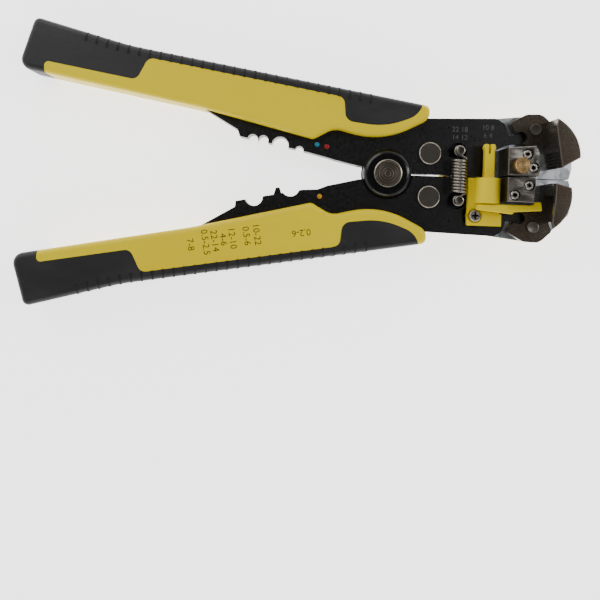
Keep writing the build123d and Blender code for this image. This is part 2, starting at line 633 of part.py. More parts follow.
def block_blade():
    """Blade let into the inner side of the cutting block, drawn on the upper side."""
    y0 = BLOCK_GAP / 2
    face = make_face(Polyline(
        (BLOCK_X0 + 2, y0 - BLADE_EDGE), (52.9 + BLADE_EDGE, y0 - BLADE_EDGE), (52.4, y0 + BLADE_T),
        (BLOCK_X0 + 2, y0 + BLADE_T), close=True))
    return slab(face, ARM_Z1 + 3.0, BLOCK_Z1 - 1.0)


def make_block_blade():
    """Thin blade on the inner side of the cutting block."""
    return lower(block_blade())


def make_tension_knob():
    """Knurled brass knob with its shank."""
    z0 = BLOCK_Z1 + LAYER_GAP
    z1 = z0 + KNOB_H
    knob = chamfer(front_edges(disc(KNOB_X, KNOB_Y, KNOB_R, z0, z1), z1), 0.25)
    for number in range(KNOB_RIBS):
        angle = math.radians(360 / KNOB_RIBS * number)
        x = KNOB_X + KNOB_R * math.cos(angle)
        y = KNOB_Y + KNOB_R * math.sin(angle)
        knob -= disc(x, y, 0.2, z0 - 1, z1 + 1)
    return knob + disc(KNOB_X, KNOB_Y, KNOB_SHANK_R, ARM_Z0, z0)


# ---------------------------------------------------------------- length stop
def stop_hole_r():
    """Hole of the lower plate round the foot of the bracket, which stays on the arm."""
    reach = math.hypot(STOP_SCREW_X, STOP_SCREW_Y)
    return STOP_FOOT_R + reach * math.radians(LOWER_HANDLE_LEAD) + AIR


def make_stop_bracket():
    """Bracket of the length stop: plate, foot on the arm, and the barrel the slider runs in."""
    plate = slab(outline([
        (STOP_X - 7.0, STOP_TOP_Y, 0.4), (BLOCK_X0 - AIR, STOP_TOP_Y, 0.4), (BLOCK_X0 - AIR, -13.8, 0.3),
        (42.9, -13.8, 0.4), (42.9, STOP_BOTTOM_Y, 0.4), (STOP_X - 7.0, STOP_BOTTOM_Y, 0.6)]),
        STOP_Z0, STOP_Z1)
    axis_z = STOP_POST_Z0 + STOP_H / 2 - 0.6
    length = STOP_TOP_Y - STOP_BARREL_Y
    lying = Rot(90, 0, 0) * Cylinder(STOP_BARREL_R, length)
    barrel = Pos(STOP_X, (STOP_TOP_Y + STOP_BARREL_Y) / 2, axis_z) * lying
    barrel += block(STOP_X - STOP_BARREL_R, STOP_X + STOP_BARREL_R, STOP_BARREL_Y, STOP_TOP_Y,
                    STOP_Z1 - 0.5, axis_z)
    barrel -= block(STOP_X - 10, STOP_X + 10, -30, 10, 0, STOP_Z1 - 0.5)
    bracket = plate + barrel
    bracket += disc(STOP_SCREW_X, STOP_SCREW_Y, STOP_FOOT_R, ARM_Z1, STOP_Z0)
    bracket -= block(
        STOP_X - STOP_W / 2 - STOP_FIT, STOP_X + STOP_W / 2 + STOP_FIT, -30, 10,
        STOP_POST_Z0 - STOP_FIT, STOP_POST_Z0 + STOP_H + STOP_FIT)
    bracket -= disc(STOP_SCREW_X, STOP_SCREW_Y, STOP_SHANK_R + FIT_GAP, ARM_Z1 - 1, STOP_Z1 + 1)
    return bracket - disc(STOP_SCREW_X, STOP_SCREW_Y, STOP_SCREW_R + 0.5, STOP_Z1 - 0.7, STOP_Z1 + 1)


def make_stop_screw():
    """Cross-head screw of the bracket."""
    head = disc(STOP_SCREW_X, STOP_SCREW_Y, STOP_SCREW_R, STOP_Z1 - 0.7, STOP_SCREW_TOP)
    head = fillet(front_edges(head, STOP_SCREW_TOP), 0.7)
    for wide, long in ((0.6, 2.4), (2.4, 0.6)):
        head -= block(STOP_SCREW_X - wide / 2, STOP_SCREW_X + wide / 2, STOP_SCREW_Y - long / 2,
                      STOP_SCREW_Y + long / 2, STOP_SCREW_TOP - 0.8, STOP_SCREW_TOP + 1)
    return head + disc(STOP_SCREW_X, STOP_SCREW_Y, STOP_SHANK_R, ARM_Z0, STOP_Z1 - 0.7)


def make_stop_slider():
    """Slider of the length stop: forked post, and the arm whose tip stands in the jaw gap."""
    z0, z1 = STOP_POST_Z0, STOP_POST_Z0 + STOP_H
    half = STOP_W / 2
    post = slab(outline([
        (STOP_X - half, -11.5, 0), (STOP_X + half, -11.5, 0), (STOP_X + half, 9.6, 0),
        (STOP_X + half + 0.4, 10.6, 0), (STOP_X + half, 11.9, 0), (STOP_X - half, 11.9, 0),
        (STOP_X - half - 0.4, 10.6, 0), (STOP_X - half, 9.6, 0)]),
        z0, z1)
    post -= block(STOP_X - 0.4, STOP_X + 0.4, 8.3, 13, z0 - 1, z1 + 1)
    arm = slab(outline([
        (STOP_X - 4.2, -10.6, 0.3), (44.6, -10.2, 1.0), (53.2, -10.2, 0), (53.7, -8.9, 0.4),
        (56.0, -9.0, 0.4), (56.5, -12.1, 0.5), (46.3, -12.9, 0.4), (45.6, -13.7, 0.5),
        (STOP_X - 4.2, -12.4, 0.3)]),
        STOP_SCREW_TOP + 0.2, z1 + 1.2)
    return post + arm


# ---------------------------------------------------------------- rear covers and guide bar
def make_upper_cover():
    """Yellow rear cover of the upper arm: wall, rim and two screw bosses."""
    area = slab(arm_outline(), 0, ARM_Z0) & block(COVER_X0, HEAD_REACH + 1, 0, 40, -1, ARM_Z0 + 1)
    inside = slab(arm_outline(COVER_RIM), COVER_WALL, ARM_Z0 + 1)
    inside &= block(COVER_X0 + COVER_RIM, HEAD_REACH, 0, 40, 0, ARM_Z0 + 1)
    cover = fillet(area.edges().filter_by(lambda edge: on_back_outline(edge)), 1.0) - inside
    cover -= block(0, COVER_X0 + COVER_RIM + 0.4, -1, 40, REAR_PLATE_Z0 - 0.2, ARM_Z0 + 1)
    cover -= sector(GUIDE_IN_R - 0.6, GUIDE_OUT_R + 0.6, -5, 8, COVER_WALL, ARM_Z0 + 1)
    cover -= sector(TONGUE_IN_R - 0.6, TONGUE_OUT_R + 0.6, -5, 3, COVER_WALL, ARM_Z0 + 1)
    cover -= block(REAR_POST_X - 2.6, REAR_POST_X + 2.6, -1, 4, COVER_WALL, ARM_Z0 + 1)
    for x, y in COVER_SCREWS:
        cover += disc(x, y, COVER_BOSS_R, COVER_WALL / 2, ARM_Z0)
        cover -= disc(x, y, COVER_SCREW_R + FIT_GAP, -1, ARM_Z0 + 1)
        cover -= disc(x, y, 2 * COVER_SCREW_R + 0.1, -1, 1.0)
    return cover


def on_back_outline(edge):
    """True for the outer edges of a cover's back face, away from the middle of the tool."""
    middle = edge.center()
    return abs(middle.Z) < 1e-4 and middle.Y > 1.0 and middle.X > COVER_X0 + 0.1


def make_cover_screws():
    """Two screws that hold a rear cover on its arm."""
    screws = []
    for x, y in COVER_SCREWS:
        screw = disc(x, y, 2 * COVER_SCREW_R, 0.1, 1.0) + disc(x, y, COVER_SCREW_R, 1.0, ARM_Z1)
        screw -= block(x - 0.3, x + 0.3, y - 1.3, y + 1.3, -1, 0.6)
        screw -= block(x - 1.3, x + 1.3, y - 0.3, y + 0.3, -1, 0.6)
        screws.append(screw.solid())
    return Compound(children=screws)


def guide_rivet_places():
    """Rivets of the guide bar, on the upper side."""
    radius = (GUIDE_IN_R + GUIDE_OUT_R) / 2
    angles = [math.radians(angle) for angle in (5.0, 14.0)]
    return [(radius * math.cos(angle), radius * math.sin(angle)) for angle in angles]


def make_guide_bar():
    """Black bar fixed behind the lower arm, sliding behind the upper one, with a centre hole."""
    bar = sector(GUIDE_IN_R, GUIDE_OUT_R, -17.5, ARM_SPREAD + 2.0, GUIDE_Z0, GUIDE_Z1)
    bar += sector(GUIDE_IN_R, GUIDE_OUT_R, -17.5, -1.0, GUIDE_Z1 - 0.5, ARM_Z0)
    radius = (GUIDE_IN_R + GUIDE_OUT_R) / 2
    middle = math.radians(ARM_SPREAD / 2)
    bar -= disc(radius * math.cos(middle), radius * math.sin(middle), 1.6, 0, ARM_Z1)
    for x, y in guide_rivet_places():
        bar -= disc(x, -y, GUIDE_RIVET_R, 0, ARM_Z1)
    return bar


def make_guide_rivets():
    """Two rivets of the guide bar, flush with the front of the lower arm."""
    rivets = []
    for x, y in guide_rivet_places():
        rivet = disc(x, -y, GUIDE_RIVET_R, GUIDE_Z0, ARM_Z1)
        rivet += disc(x, -y, GUIDE_RIVET_R + 0.8, GUIDE_Z0 - 0.8, GUIDE_Z0)
        rivets.append(rivet.solid())
    return Compound(children=rivets)


def make_mark(x, y):
    """Painted colour mark in a punched dimple of a front plate."""
    return disc(x, y, 0.9, PLATE_Z1, PLATE_Z1 + 0.12)


# ---------------------------------------------------------------- all pieces
def make_handle(side, front, back, crimp, flip):
    """Pieces of one handle by node name. flip mirrors what is drawn on the upper side."""
    middle = flip(crimp)
    core, sleeve = split_grip([flip(front), flip(back), crimp])
    return {
        side + "_front_plate": front,
        side + "_rear_plate": back,
        side + "_crimp_plate": middle,
        side + "_plate_rivets": flip(make_plate_rivets()),
        side + "_drive_rivet": flip(make_drive_rivet()),
        side + "_grip_core": flip(core),
        side + "_grip_sleeve": flip(sleeve),
    }


def same(part):
    """A part as it is drawn."""
    return part


def make_front_post():
    """Front spring post of the upper arm."""
    top = SPRING_Z + WIRE_R + 1.2
    return make_post(POST_X, POST_Y, POST_R, POST_NECK_R, SPRING_Z, WIRE_R, ARM_Z0, top)


def make_rear_post():
    """Rear spring post of the upper arm."""
    bottom = REAR_SPRING_Z - REAR_WIRE_R - 0.5
    return make_post(
        REAR_POST_X, REAR_POST_Y, REAR_POST_R, REAR_NECK_R, REAR_SPRING_Z, REAR_WIRE_R, bottom, ARM_Z1)


def make_pieces():
    """Every piece of the tool by node name."""
    pieces = {
        "lower_arm": make_lower_arm(),
        "upper_arm": make_upper_arm(),
        "main_pivot_rivet": make_main_pivot(),
        "upper_jaw": make_upper_jaw(),
        "lower_jaw": make_lower_jaw(),
        "lower_jaw_blade": make_jaw_blade(),
        "upper_jaw_pin": make_jaw_pin(),
        "lower_jaw_pin": lower(make_jaw_pin()),
        "gripping_block": make_gripping_block(),
        "gripping_block_screws": make_block_screws(UPPER_SCREWS),
        "cutting_block": make_cutting_block(),
        "cutting_block_screws": lower(make_block_screws(LOWER_SCREWS)),
        "cutting_block_blade": make_block_blade(),
        "tension_knob": make_tension_knob(),
        "front_spring": make_spring(
            POST_X, POST_Y, SPRING_Z, SPRING_R, WIRE_R, SPRING_COILS, SPRING_BODY, POST_NECK_R),
        "rear_spring": make_spring(
            REAR_POST_X, REAR_POST_Y, REAR_SPRING_Z, REAR_SPRING_R, REAR_WIRE_R, REAR_COILS,
            REAR_SPRING_BODY, REAR_NECK_R),
        "upper_front_post": make_front_post(),
        "lower_front_post": lower(make_front_post()),
        "upper_rear_post": make_rear_post(),
        "lower_rear_post": lower(make_rear_post()),
        "stop_bracket": make_stop_bracket(),
        "stop_screw": make_stop_screw(),
        "stop_slider": make_stop_slider(),
        "upper_cover": make_upper_cover(),
        "lower_cover": lower(make_upper_cover()),
        "upper_cover_screws": make_cover_screws(),
        "lower_cover_screws": lower(make_cover_screws()),
        "guide_bar": make_guide_bar(),
        "guide_bar_rivets": make_guide_rivets(),
        "blue_mark": make_mark(-26.7, 10.1),
        "red_mark": make_mark(-23.0, 9.4),
        "yellow_mark": lower(make_mark(-25.1, 9.4)),
    }
    pieces.update(make_handle(
        "upper", make_upper_front_plate(), make_upper_rear_plate(),
        make_crimp_plate(upper_crimp_edge(), UPPER_BITES), same))
    pieces.update(make_handle(
        "lower", make_lower_front_plate(), make_lower_rear_plate(),
        make_crimp_plate(lower_crimp_edge(), LOWER_BITES), lower))
    return pieces


os.makedirs("parts", exist_ok=True)
for name, piece in make_pieces().items():
    export_step(piece, f"parts/{name}.step")
print(f"handle leads {UPPER_HANDLE_LEAD:.3f} and {LOWER_HANDLE_LEAD:.3f}, arm spread {ARM_SPREAD:.3f} degrees")
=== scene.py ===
"""Looks, lights and camera of the self-adjusting wire stripper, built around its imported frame."""

import json
import logging
import math
from collections.abc import Callable, Sequence
from dataclasses import dataclass, replace
from enum import Enum

import bmesh
import bpy
from mathutils import Matrix, Vector
from mathutils.bvhtree import BVHTree

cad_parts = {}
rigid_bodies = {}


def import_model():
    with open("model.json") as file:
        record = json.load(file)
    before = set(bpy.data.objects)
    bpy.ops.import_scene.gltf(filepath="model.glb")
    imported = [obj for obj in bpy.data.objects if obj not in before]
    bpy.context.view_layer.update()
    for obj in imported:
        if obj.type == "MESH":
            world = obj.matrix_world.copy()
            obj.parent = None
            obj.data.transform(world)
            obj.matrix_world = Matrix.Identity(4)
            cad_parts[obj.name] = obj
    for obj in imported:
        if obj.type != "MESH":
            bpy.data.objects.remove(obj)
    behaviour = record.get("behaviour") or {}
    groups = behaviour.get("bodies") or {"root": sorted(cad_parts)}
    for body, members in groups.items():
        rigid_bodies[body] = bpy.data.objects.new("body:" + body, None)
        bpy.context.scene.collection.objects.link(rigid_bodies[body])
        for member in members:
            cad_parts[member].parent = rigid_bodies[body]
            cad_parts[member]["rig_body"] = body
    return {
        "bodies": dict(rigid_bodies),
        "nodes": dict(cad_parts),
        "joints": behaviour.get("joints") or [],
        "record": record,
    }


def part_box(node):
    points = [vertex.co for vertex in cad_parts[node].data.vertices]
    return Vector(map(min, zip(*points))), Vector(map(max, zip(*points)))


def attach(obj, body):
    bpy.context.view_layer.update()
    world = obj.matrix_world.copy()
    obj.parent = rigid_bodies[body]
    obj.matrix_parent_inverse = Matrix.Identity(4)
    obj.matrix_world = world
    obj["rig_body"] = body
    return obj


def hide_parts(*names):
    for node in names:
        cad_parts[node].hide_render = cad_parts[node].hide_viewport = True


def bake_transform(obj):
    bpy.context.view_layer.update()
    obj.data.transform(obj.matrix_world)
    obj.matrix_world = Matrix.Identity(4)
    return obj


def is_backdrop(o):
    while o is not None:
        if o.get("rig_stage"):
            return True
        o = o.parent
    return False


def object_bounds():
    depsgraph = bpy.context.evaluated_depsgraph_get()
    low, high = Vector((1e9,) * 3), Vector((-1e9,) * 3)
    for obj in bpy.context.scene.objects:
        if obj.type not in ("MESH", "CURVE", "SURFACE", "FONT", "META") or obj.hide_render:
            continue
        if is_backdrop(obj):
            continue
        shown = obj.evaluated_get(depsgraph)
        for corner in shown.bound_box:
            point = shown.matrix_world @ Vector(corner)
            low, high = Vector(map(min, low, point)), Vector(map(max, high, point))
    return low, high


LOG = logging.getLogger("wire_stripper")
MM = 0.001
SHARP = 32.0                # edges sharper than this stay crisp, in degrees
WELD = 2e-6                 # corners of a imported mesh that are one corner, in metres
Socket = bpy.types.NodeSocket
Tree = bpy.types.NodeTree
Pair = tuple[float, float]
Triple = tuple[float, float, float]


class Side(Enum):
    """The two handles and all that goes with them. The value is the sign of their Y."""

    UPPER = 1
    LOWER = -1

    @property
    def word(self) -> str:
        """Name used in node names."""
        return self.name.lower()

    @property
    def handle(self) -> str:
        """Body of this side's handle."""
        return f"{self.word}_handle"

    @property
    def arm(self) -> str:
        """Body of this side's arm."""
        return f"{self.word}_arm"


# ---------------------------------------------------------------- colour and shader helpers
def linear(code: str) -> tuple[float, float, float, float]:
    """Turn an sRGB hex colour into linear light.

    Args:
        code: Six hex digits.

    Returns:
        Red, green, blue and alpha for a shader socket.
    """
    parts = [int(code[i:i + 2], 16) / 255 for i in (0, 2, 4)]
    red, green, blue = (p / 12.92 if p <= 0.04045 else ((p + 0.055) / 1.055) ** 2.4 for p in parts)
    return red, green, blue, 1.0


def add(tree: Tree, kind: str, inputs: dict | None = None, **settings) -> bpy.types.Node:
    """Add one shader node with its settings, values and links.

    Args:
        tree: Node tree that gets the node.
        kind: Node type without its ShaderNode prefix.
        inputs: Socket name or number to a value, or to the socket that feeds it.
        **settings: Properties of the node itself.

    Returns:
        The new node.
    """
    made = tree.nodes.new(f"ShaderNode{kind}")
    for name, value in settings.items():
        setattr(made, name, value)
    for key, value in (inputs or {}).items():
        if isinstance(value, Socket):
            tree.links.new(value, made.inputs[key])
        else:
            made.inputs[key].default_value = value
    return made


# ---------------------------------------------------------------- finishes
def ranged(value: Socket, span: Pair, out: Pair) -> dict:
    """Inputs of a Map Range node that takes a value from one range to another and clamps it."""
    return {"Value": value, "From Min": span[0], "From Max": span[1], "To Min": out[0], "To Max": out[1]}


@dataclass(frozen=True)
class Skin:
    """A material in the making: its nodes, its shader and the place on the piece, in metres."""

    tree: Tree
    shader: bpy.types.Node
    place: Socket

    def feed(self, name: str, source: Socket) -> None:
        """Link a socket to an input of the shader."""
        self.tree.links.new(source, self.shader.inputs[name])

    def pattern(self, size_mm: float, detail: float = 2.0, stretch: Triple = (1, 1, 1)) -> Socket:
        """Cloudy pattern from 0 to 1 whose blobs are about size_mm across.

        Args:
            size_mm: Real size of the blobs.
            detail: Octaves of finer blobs.
            stretch: How much longer they are along each axis.

        Returns:
            The pattern.
        """
        scale = tuple(1 / (size_mm * MM * s) for s in stretch)
        spread = add(self.tree, "Mapping", {"Vector": self.place, "Scale": scale}).outputs[0]
        return add(self.tree, "TexNoise", {"Vector": spread, "Scale": 1.0, "Detail": detail}).outputs["Fac"]

    def from_axis(self, x: float, y: float) -> Socket:
        """Distance from an upright axis.

        Args:
            x: Where the axis stands, in metres.
            y: Where the axis stands, in metres.

        Returns:
            The distance in metres.
        """
        local = add(self.tree, "Mapping", {"Vector": self.place, "Location": (-x, -y, 0.0)}).outputs[0]
        flat = add(self.tree, "VectorMath", {0: local, 1: (1, 1, 0)}, operation="MULTIPLY").outputs[0]
        return add(self.tree, "VectorMath", {0: flat}, operation="LENGTH").outputs["Value"]

    def stained(self, colour: Socket | str, stain: str, value: Socket, span: Pair, share: Pair) -> Socket:
        """Let a second colour show through where a pattern says so.

        Args:
            colour: Colour so far, a socket or hex code.
            stain: Hex code of the second colour.
            value: The pattern.
            span: Values of the pattern between which the share changes.
            share: How much of the second colour shows at each of them.

        Returns:
            The colour of both.
        """
        first = linear(colour) if isinstance(colour, str) else colour
        shown = add(self.tree, "MapRange", ranged(value, span, share)).outputs[0]
        return add(self.tree, "Mix", {0: shown, 6: first, 7: linear(stain)}, data_type="RGBA").outputs[2]

    def polished(self, value: Socket, span: Pair, rough: Pair) -> None:
        """Let the roughness follow a pattern."""
        self.feed("Roughness", add(self.tree, "MapRange", ranged(value, span, rough)).outputs[0])

    def raised(self, height: Socket, depth_mm: float) -> None:
        """Raise the surface by a pattern, by depth_mm for its full step."""
        relief = {"Height": height, "Distance": depth_mm * MM, "Strength": 1.0}
        self.feed("Normal", add(self.tree, "Bump", relief).outputs[0])


@dataclass(frozen=True)
class Finish:
    """What every finish has: its common name, colour and how it takes light."""

    name: str
    colour: str
    roughness: float
    metallic: float = 0.0
    slot: str = ""

    def material(self) -> bpy.types.Material:
        """Make the material, or return the one that was made before.

        A finish never has the name of a slot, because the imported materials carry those.
        """
        known = bpy.data.materials.get(self.name)
        if known:
            return known
        made = bpy.data.materials.new(self.name)
        made.use_nodes = True
        tree = made.node_tree
        shader = tree.nodes["Principled BSDF"]
        shader.inputs["Base Color"].default_value = linear(self.colour)
        shader.inputs["Roughness"].default_value = self.roughness
        shader.inputs["Metallic"].default_value = self.metallic
        self.dress(Skin(tree, shader, add(tree, "TexCoord").outputs["Object"]))
        return made

    def around(self, below: float, above: float) -> Pair:
        """Roughness at the two ends of a pattern, each given as its distance from the finish's own."""
        return self.roughness + below, self.roughness + above

    def dress(self, skin: Skin) -> None:
        """Add the finish's own pattern. A plain finish has none."""


@dataclass(frozen=True)
class Moulding(Finish):
    """Injection-moulded polypropylene: satin skin with faint flow marks and rubbed patches."""

    deep: str = "D9B000"
    sheen: float = 0.25

    def dress(self, skin: Skin) -> None:
        """Even bright skin, a little deeper in colour in slow patches, finely pebbled.

        Args:
            skin: Material that gets the pattern.
        """
        flow = skin.pattern(22.0, 3.0, (2.5, 1, 1))
        skin.feed("Base Color", skin.stained(self.colour, self.deep, flow, (0.35, 0.8), (0.0, 0.35)))
        skin.polished(skin.pattern(6.0, 4.0), (0.3, 0.7), self.around(-0.06, 0.08))
        skin.raised(skin.pattern(0.35), 0.012)        # spark-eroded mould skin
        skin.shader.inputs["Specular IOR Level"].default_value = self.sheen


@dataclass(frozen=True)
class SoftRubber(Finish):
    """Overmoulded thermoplastic rubber: deep matt black, fine leathery grain, pale handling marks."""

    worn: str = "323231"

    def dress(self, skin: Skin) -> None:
        """Matt skin with fine grain, and dust that lifts the black in soft patches.

        Args:
            skin: Material that gets the pattern.
        """
        dust = skin.pattern(9.0, 5.0, (2.0, 1, 1))
        skin.feed("Base Color", skin.stained(self.colour, self.worn, dust, (0.5, 0.85), (0.0, 0.35)))
        skin.polished(dust, (0.3, 0.8), self.around(-0.08, 0.1))
        skin.raised(skin.pattern(0.45, 3.0), 0.05)    # drawn twice the real grain, to show at all


@dataclass(frozen=True)
class CoatedPlate(Finish):
    """Stamped steel in black electro-coating: satin black with dust specks and hair scratches."""

    speck: str = "77797E"
    scratch: str = "26272A"

    def dress(self, skin: Skin) -> None:
        """Satin coat that shows the rolled sheet below, sparse bright specks and fine scratches.

        Args:
            skin: Material that gets the pattern.
        """
        tree = skin.tree
        dots = add(tree, "TexVoronoi", {"Vector": skin.place, "Scale": 1 / (1.6 * MM), "Randomness": 1.0})
        near = add(tree, "MapRange", ranged(dots.outputs["Distance"], (0.04, 0.085), (1.0, 0.0))).outputs[0]
        sparse = add(tree, "MapRange", ranged(skin.pattern(3.0, 1.0), (0.56, 0.6), (0.0, 0.7))).outputs[0]
        shown = add(tree, "Math", {0: near, 1: sparse}, operation="MULTIPLY").outputs[0]
        lines = skin.pattern(0.28, 1.0, (26.0, 1, 1))
        colour = skin.stained(self.colour, self.scratch, lines, (0.72, 0.8), (0.0, 0.5))
        skin.feed("Base Color", skin.stained(colour, self.speck, shown, (0.0, 1.0), (0.0, 1.0)))
        sheet = skin.pattern(1.1, 3.0)
        skin.polished(sheet, (0.3, 0.7), self.around(-0.07, 0.09))
        skin.raised(sheet, 0.02)


@dataclass(frozen=True)
class ZincPlate(Finish):
    """Zinc-plated steel sheet: pale blue-grey metal with crystal patches and handling scratches."""

    dark: str = "7E8387"
    grease: str = "141414"
    staked: tuple[Pair, ...] = ()

    def dress(self, skin: Skin) -> None:
        """Patches of crystal, each turning the light its own way, fine scratches, and a ring of painted shade
        round each listed post, where it lies deep in a hole of the part above.

        Args:
            skin: Material that gets the pattern.
        """
        tree = skin.tree
        cells = add(tree, "TexVoronoi", {"Vector": skin.place, "Scale": 1 / (2.2 * MM)}).outputs["Color"]
        value = add(tree, "SeparateColor", {"Color": cells}).outputs[0]
        cloud = skin.pattern(5.0, 6.0)
        both = add(tree, "Math", {0: value, 1: cloud}, operation="MULTIPLY").outputs[0]
        colour = skin.stained(self.colour, self.dark, both, (0.05, 0.6), (0.75, 0.0))
        # dark ring round each post: painted shade of the hole in the part above
        for x, y in self.staked:
            away = skin.from_axis(x, y)
            colour = skin.stained(colour, self.grease, away, (3.9 * MM, 4.6 * MM), (0.96, 0.0))
        skin.feed("Base Color", colour)
        skin.polished(both, (0.0, 0.6), self.around(0.14, -0.06))
        lines = skin.pattern(0.22, 2.0, (1, 30.0, 1))
        skin.raised(add(tree, "Math", {0: lines, 1: cloud}, operation="ADD").outputs[0], 0.02)


@dataclass(frozen=True)
class SinteredSteel(Finish):
    """Pressed and sintered steel: pebbled brown-grey front, sides burnished smooth by the die."""

    brown: str = "40342A"
    bright_grain: str = "766D62"
    pore: str = "1F1B18"
    burnished: str = "746E66"
    die_line: str = "5C5750"

    def dress(self, skin: Skin) -> None:
        """Grainy faces across the press direction, smooth paler ones along it.

        Args:
            skin: Material that gets the pattern.
        """
        tree = skin.tree
        facing = add(tree, "TexCoord").outputs["Normal"]
        upright = add(tree, "SeparateXYZ", {"Vector": facing}).outputs["Z"]
        level = add(tree, "Math", {0: upright}, operation="ABSOLUTE").outputs[0]
        front = add(tree, "MapRange", ranged(level, (0.45, 0.85), (0.0, 1.0))).outputs[0]
        grit = skin.pattern(0.38, 4.0)                # powder grains, drawn three times their size
        cast = skin.stained(self.colour, self.brown, skin.pattern(4.5, 3.0), (0.35, 0.7), (0.0, 0.75))
        cast = skin.stained(cast, self.bright_grain, grit, (0.52, 0.75), (0.0, 0.45))
        cast = skin.stained(cast, self.pore, grit, (0.48, 0.3), (0.0, 0.6))
        along = skin.pattern(0.3, 2.0, (1, 1, 14.0))
        smooth = skin.stained(self.burnished, self.die_line, along, (0.35, 0.7), (0.0, 0.5))
        skin.feed("Base Color", add(tree, "Mix", {0: front, 6: smooth, 7: cast}, data_type="RGBA").outputs[2])
        skin.polished(front, (0.0, 1.0), (0.27, self.roughness))
        skin.raised(add(tree, "Math", {0: grit, 1: front}, operation="MULTIPLY").outputs[0], 0.09)


@dataclass(frozen=True)
class GroundSteel(Finish):
    """Surface-ground steel: dark grey with fine parallel grinding lines and faint oil stains."""

    cut: str = "9B9995"
    oil: str = "5B554C"
    along: Triple = (18.0, 1.0, 1.0)

    def dress(self, skin: Skin) -> None:
        """Grinding lines one way, brighter where the wheel bit, browner where oil dried.

        Args:
            skin: Material that gets the pattern.
        """
        lines = skin.pattern(0.2, 3.0, self.along)    # wheel marks, twice their pitch
        base = skin.stained(self.colour, self.cut, lines, (0.35, 0.7), (0.0, 0.4))
        skin.feed("Base Color", skin.stained(base, self.oil, skin.pattern(3.0, 3.0), (0.5, 0.75), (0.0, 0.5)))
        skin.polished(lines, (0.3, 0.7), self.around(0.07, -0.07))
        skin.raised(lines, 0.014)


@dataclass(frozen=True)
class TurnedMetal(Finish):
    """Metal faced on a lathe: rings about the piece's axis, grain between them."""

    centre: Pair = (0.0, 0.0)
    ring_mm: float = 0.5
    ring_share: float = 0.35
    dark: str = "3F3B37"

    def dress(self, skin: Skin) -> None:
        """Rings that follow the tool round the centre, over a mottled grain.

        Args:
            skin: Material that gets the pattern.
        """
        tree = skin.tree
        phase = {0: skin.from_axis(*self.centre), 1: 2 * math.pi / (self.ring_mm * MM)}
        turns = add(tree, "Math", phase, operation="MULTIPLY").outputs[0]
        rings = add(tree, "Math", {0: turns}, operation="SINE").outputs[0]
        grain = skin.pattern(0.3, 3.0)
        colour = skin.stained(self.colour, self.dark, rings, (-1.0, 1.0), (0.0, self.ring_share))
        skin.feed("Base Color", skin.stained(colour, self.dark, grain, (0.45, 0.75), (0.0, 0.4)))
        skin.polished(grain, (0.3, 0.7), self.around(-0.06, 0.1))
        height = add(tree, "Math", {0: rings, 1: self.ring_share}, operation="MULTIPLY").outputs[0]
        skin.raised(add(tree, "Math", {0: height, 1: grain}, operation="ADD").outputs[0], 0.015)


@dataclass(frozen=True)
class BrightMetal(Finish):
    """Drawn or plated metal: smooth and bright, with light pits and handling marks."""

    pit: str = "2A2622"

    def dress(self, skin: Skin) -> None:
        """Bright skin with a few dull pits, which break up its reflections.

        Args:
            skin: Material that gets the pattern.
        """
        marks = skin.pattern(0.6, 4.0)
        skin.feed("Base Color", skin.stained(self.colour, self.pit, marks, (0.55, 0.8), (0.0, 0.6)))
        skin.polished(marks, (0.35, 0.7), self.around(-0.05, 0.14))
        skin.raised(marks, 0.015)


@dataclass(frozen=True)
class Enamel(Finish):
    """Dab of enamel paint: glossy, slightly uneven in depth."""

    thin: str = "181818"
    gloss: float = 0.6

    def dress(self, skin: Skin) -> None:
        """Thick gloss with a small swirl of tone.

        Args:
            skin: Material that gets the pattern.
        """
        swirl = skin.pattern(0.5)
        skin.feed("Base Color", skin.stained(self.colour, self.thin, swirl, (0.4, 0.7), (0.0, 0.4)))
        skin.raised(swirl, 0.04)
        skin.shader.inputs["Coat Weight"].default_value = self.gloss


@dataclass(frozen=True)
class Ink(Finish):
    """Pad-printed ink: thin, matt and slightly patchy."""

    thin: str = "8A7420"

    def dress(self, skin: Skin) -> None:
        """Film that lets the plastic show through where it is thin."""
        patch = skin.pattern(0.8, 3.0)
        skin.feed("Base Color", skin.stained(self.colour, self.thin, patch, (0.45, 0.8), (0.0, 0.5)))


YELLOW = Moulding("moulded_polypropylene_yellow", "E6CF00", 0.42, slot="yellow_plastic")
RUBBER = SoftRubber("overmoulded_rubber_black", "151515", 0.52, slot="black_rubber")
# Same rubber as the sleeve, coloured darker: painted shade of the tread's notches.
SHADED_TREAD = SoftRubber("cut_tread_rubber_black", "040404", 0.8, slot="black_rubber", worn="0A0A0A")
COATED = CoatedPlate("electrocoated_steel_black", "060607", 0.34, slot="black_plate")
BOSS = CoatedPlate("electrocoated_boss_gloss", "060607", 0.16, slot="black_plate")
ZINC = ZincPlate("zinc_plated_sheet", "CDD1D4", 0.36, 1.0, slot="zinc_plate")
SINTERED = SinteredSteel("pressed_sintered_steel", "453F37", 0.5, 0.9, slot="sintered_steel")
GROUND = GroundSteel("ground_tool_steel", "544F49", 0.34, 1.0, slot="ground_steel")
HONED = GroundSteel("honed_blade_steel", "B9BBBD", 0.2, 1.0, slot="blade_steel", along=(1.0, 1.0, 18.0))
SPRING_WIRE = BrightMetal("drawn_spring_wire", "8D887F", 0.24, 1.0, slot="spring_steel")
NICKEL = BrightMetal("nickel_plated_screw", "BDB8AD", 0.2, 1.0, slot="screw_steel")
PLAIN_RIVET = BrightMetal("cold_headed_rivet_steel", "57534E", 0.4, 1.0, slot="rivet_steel")
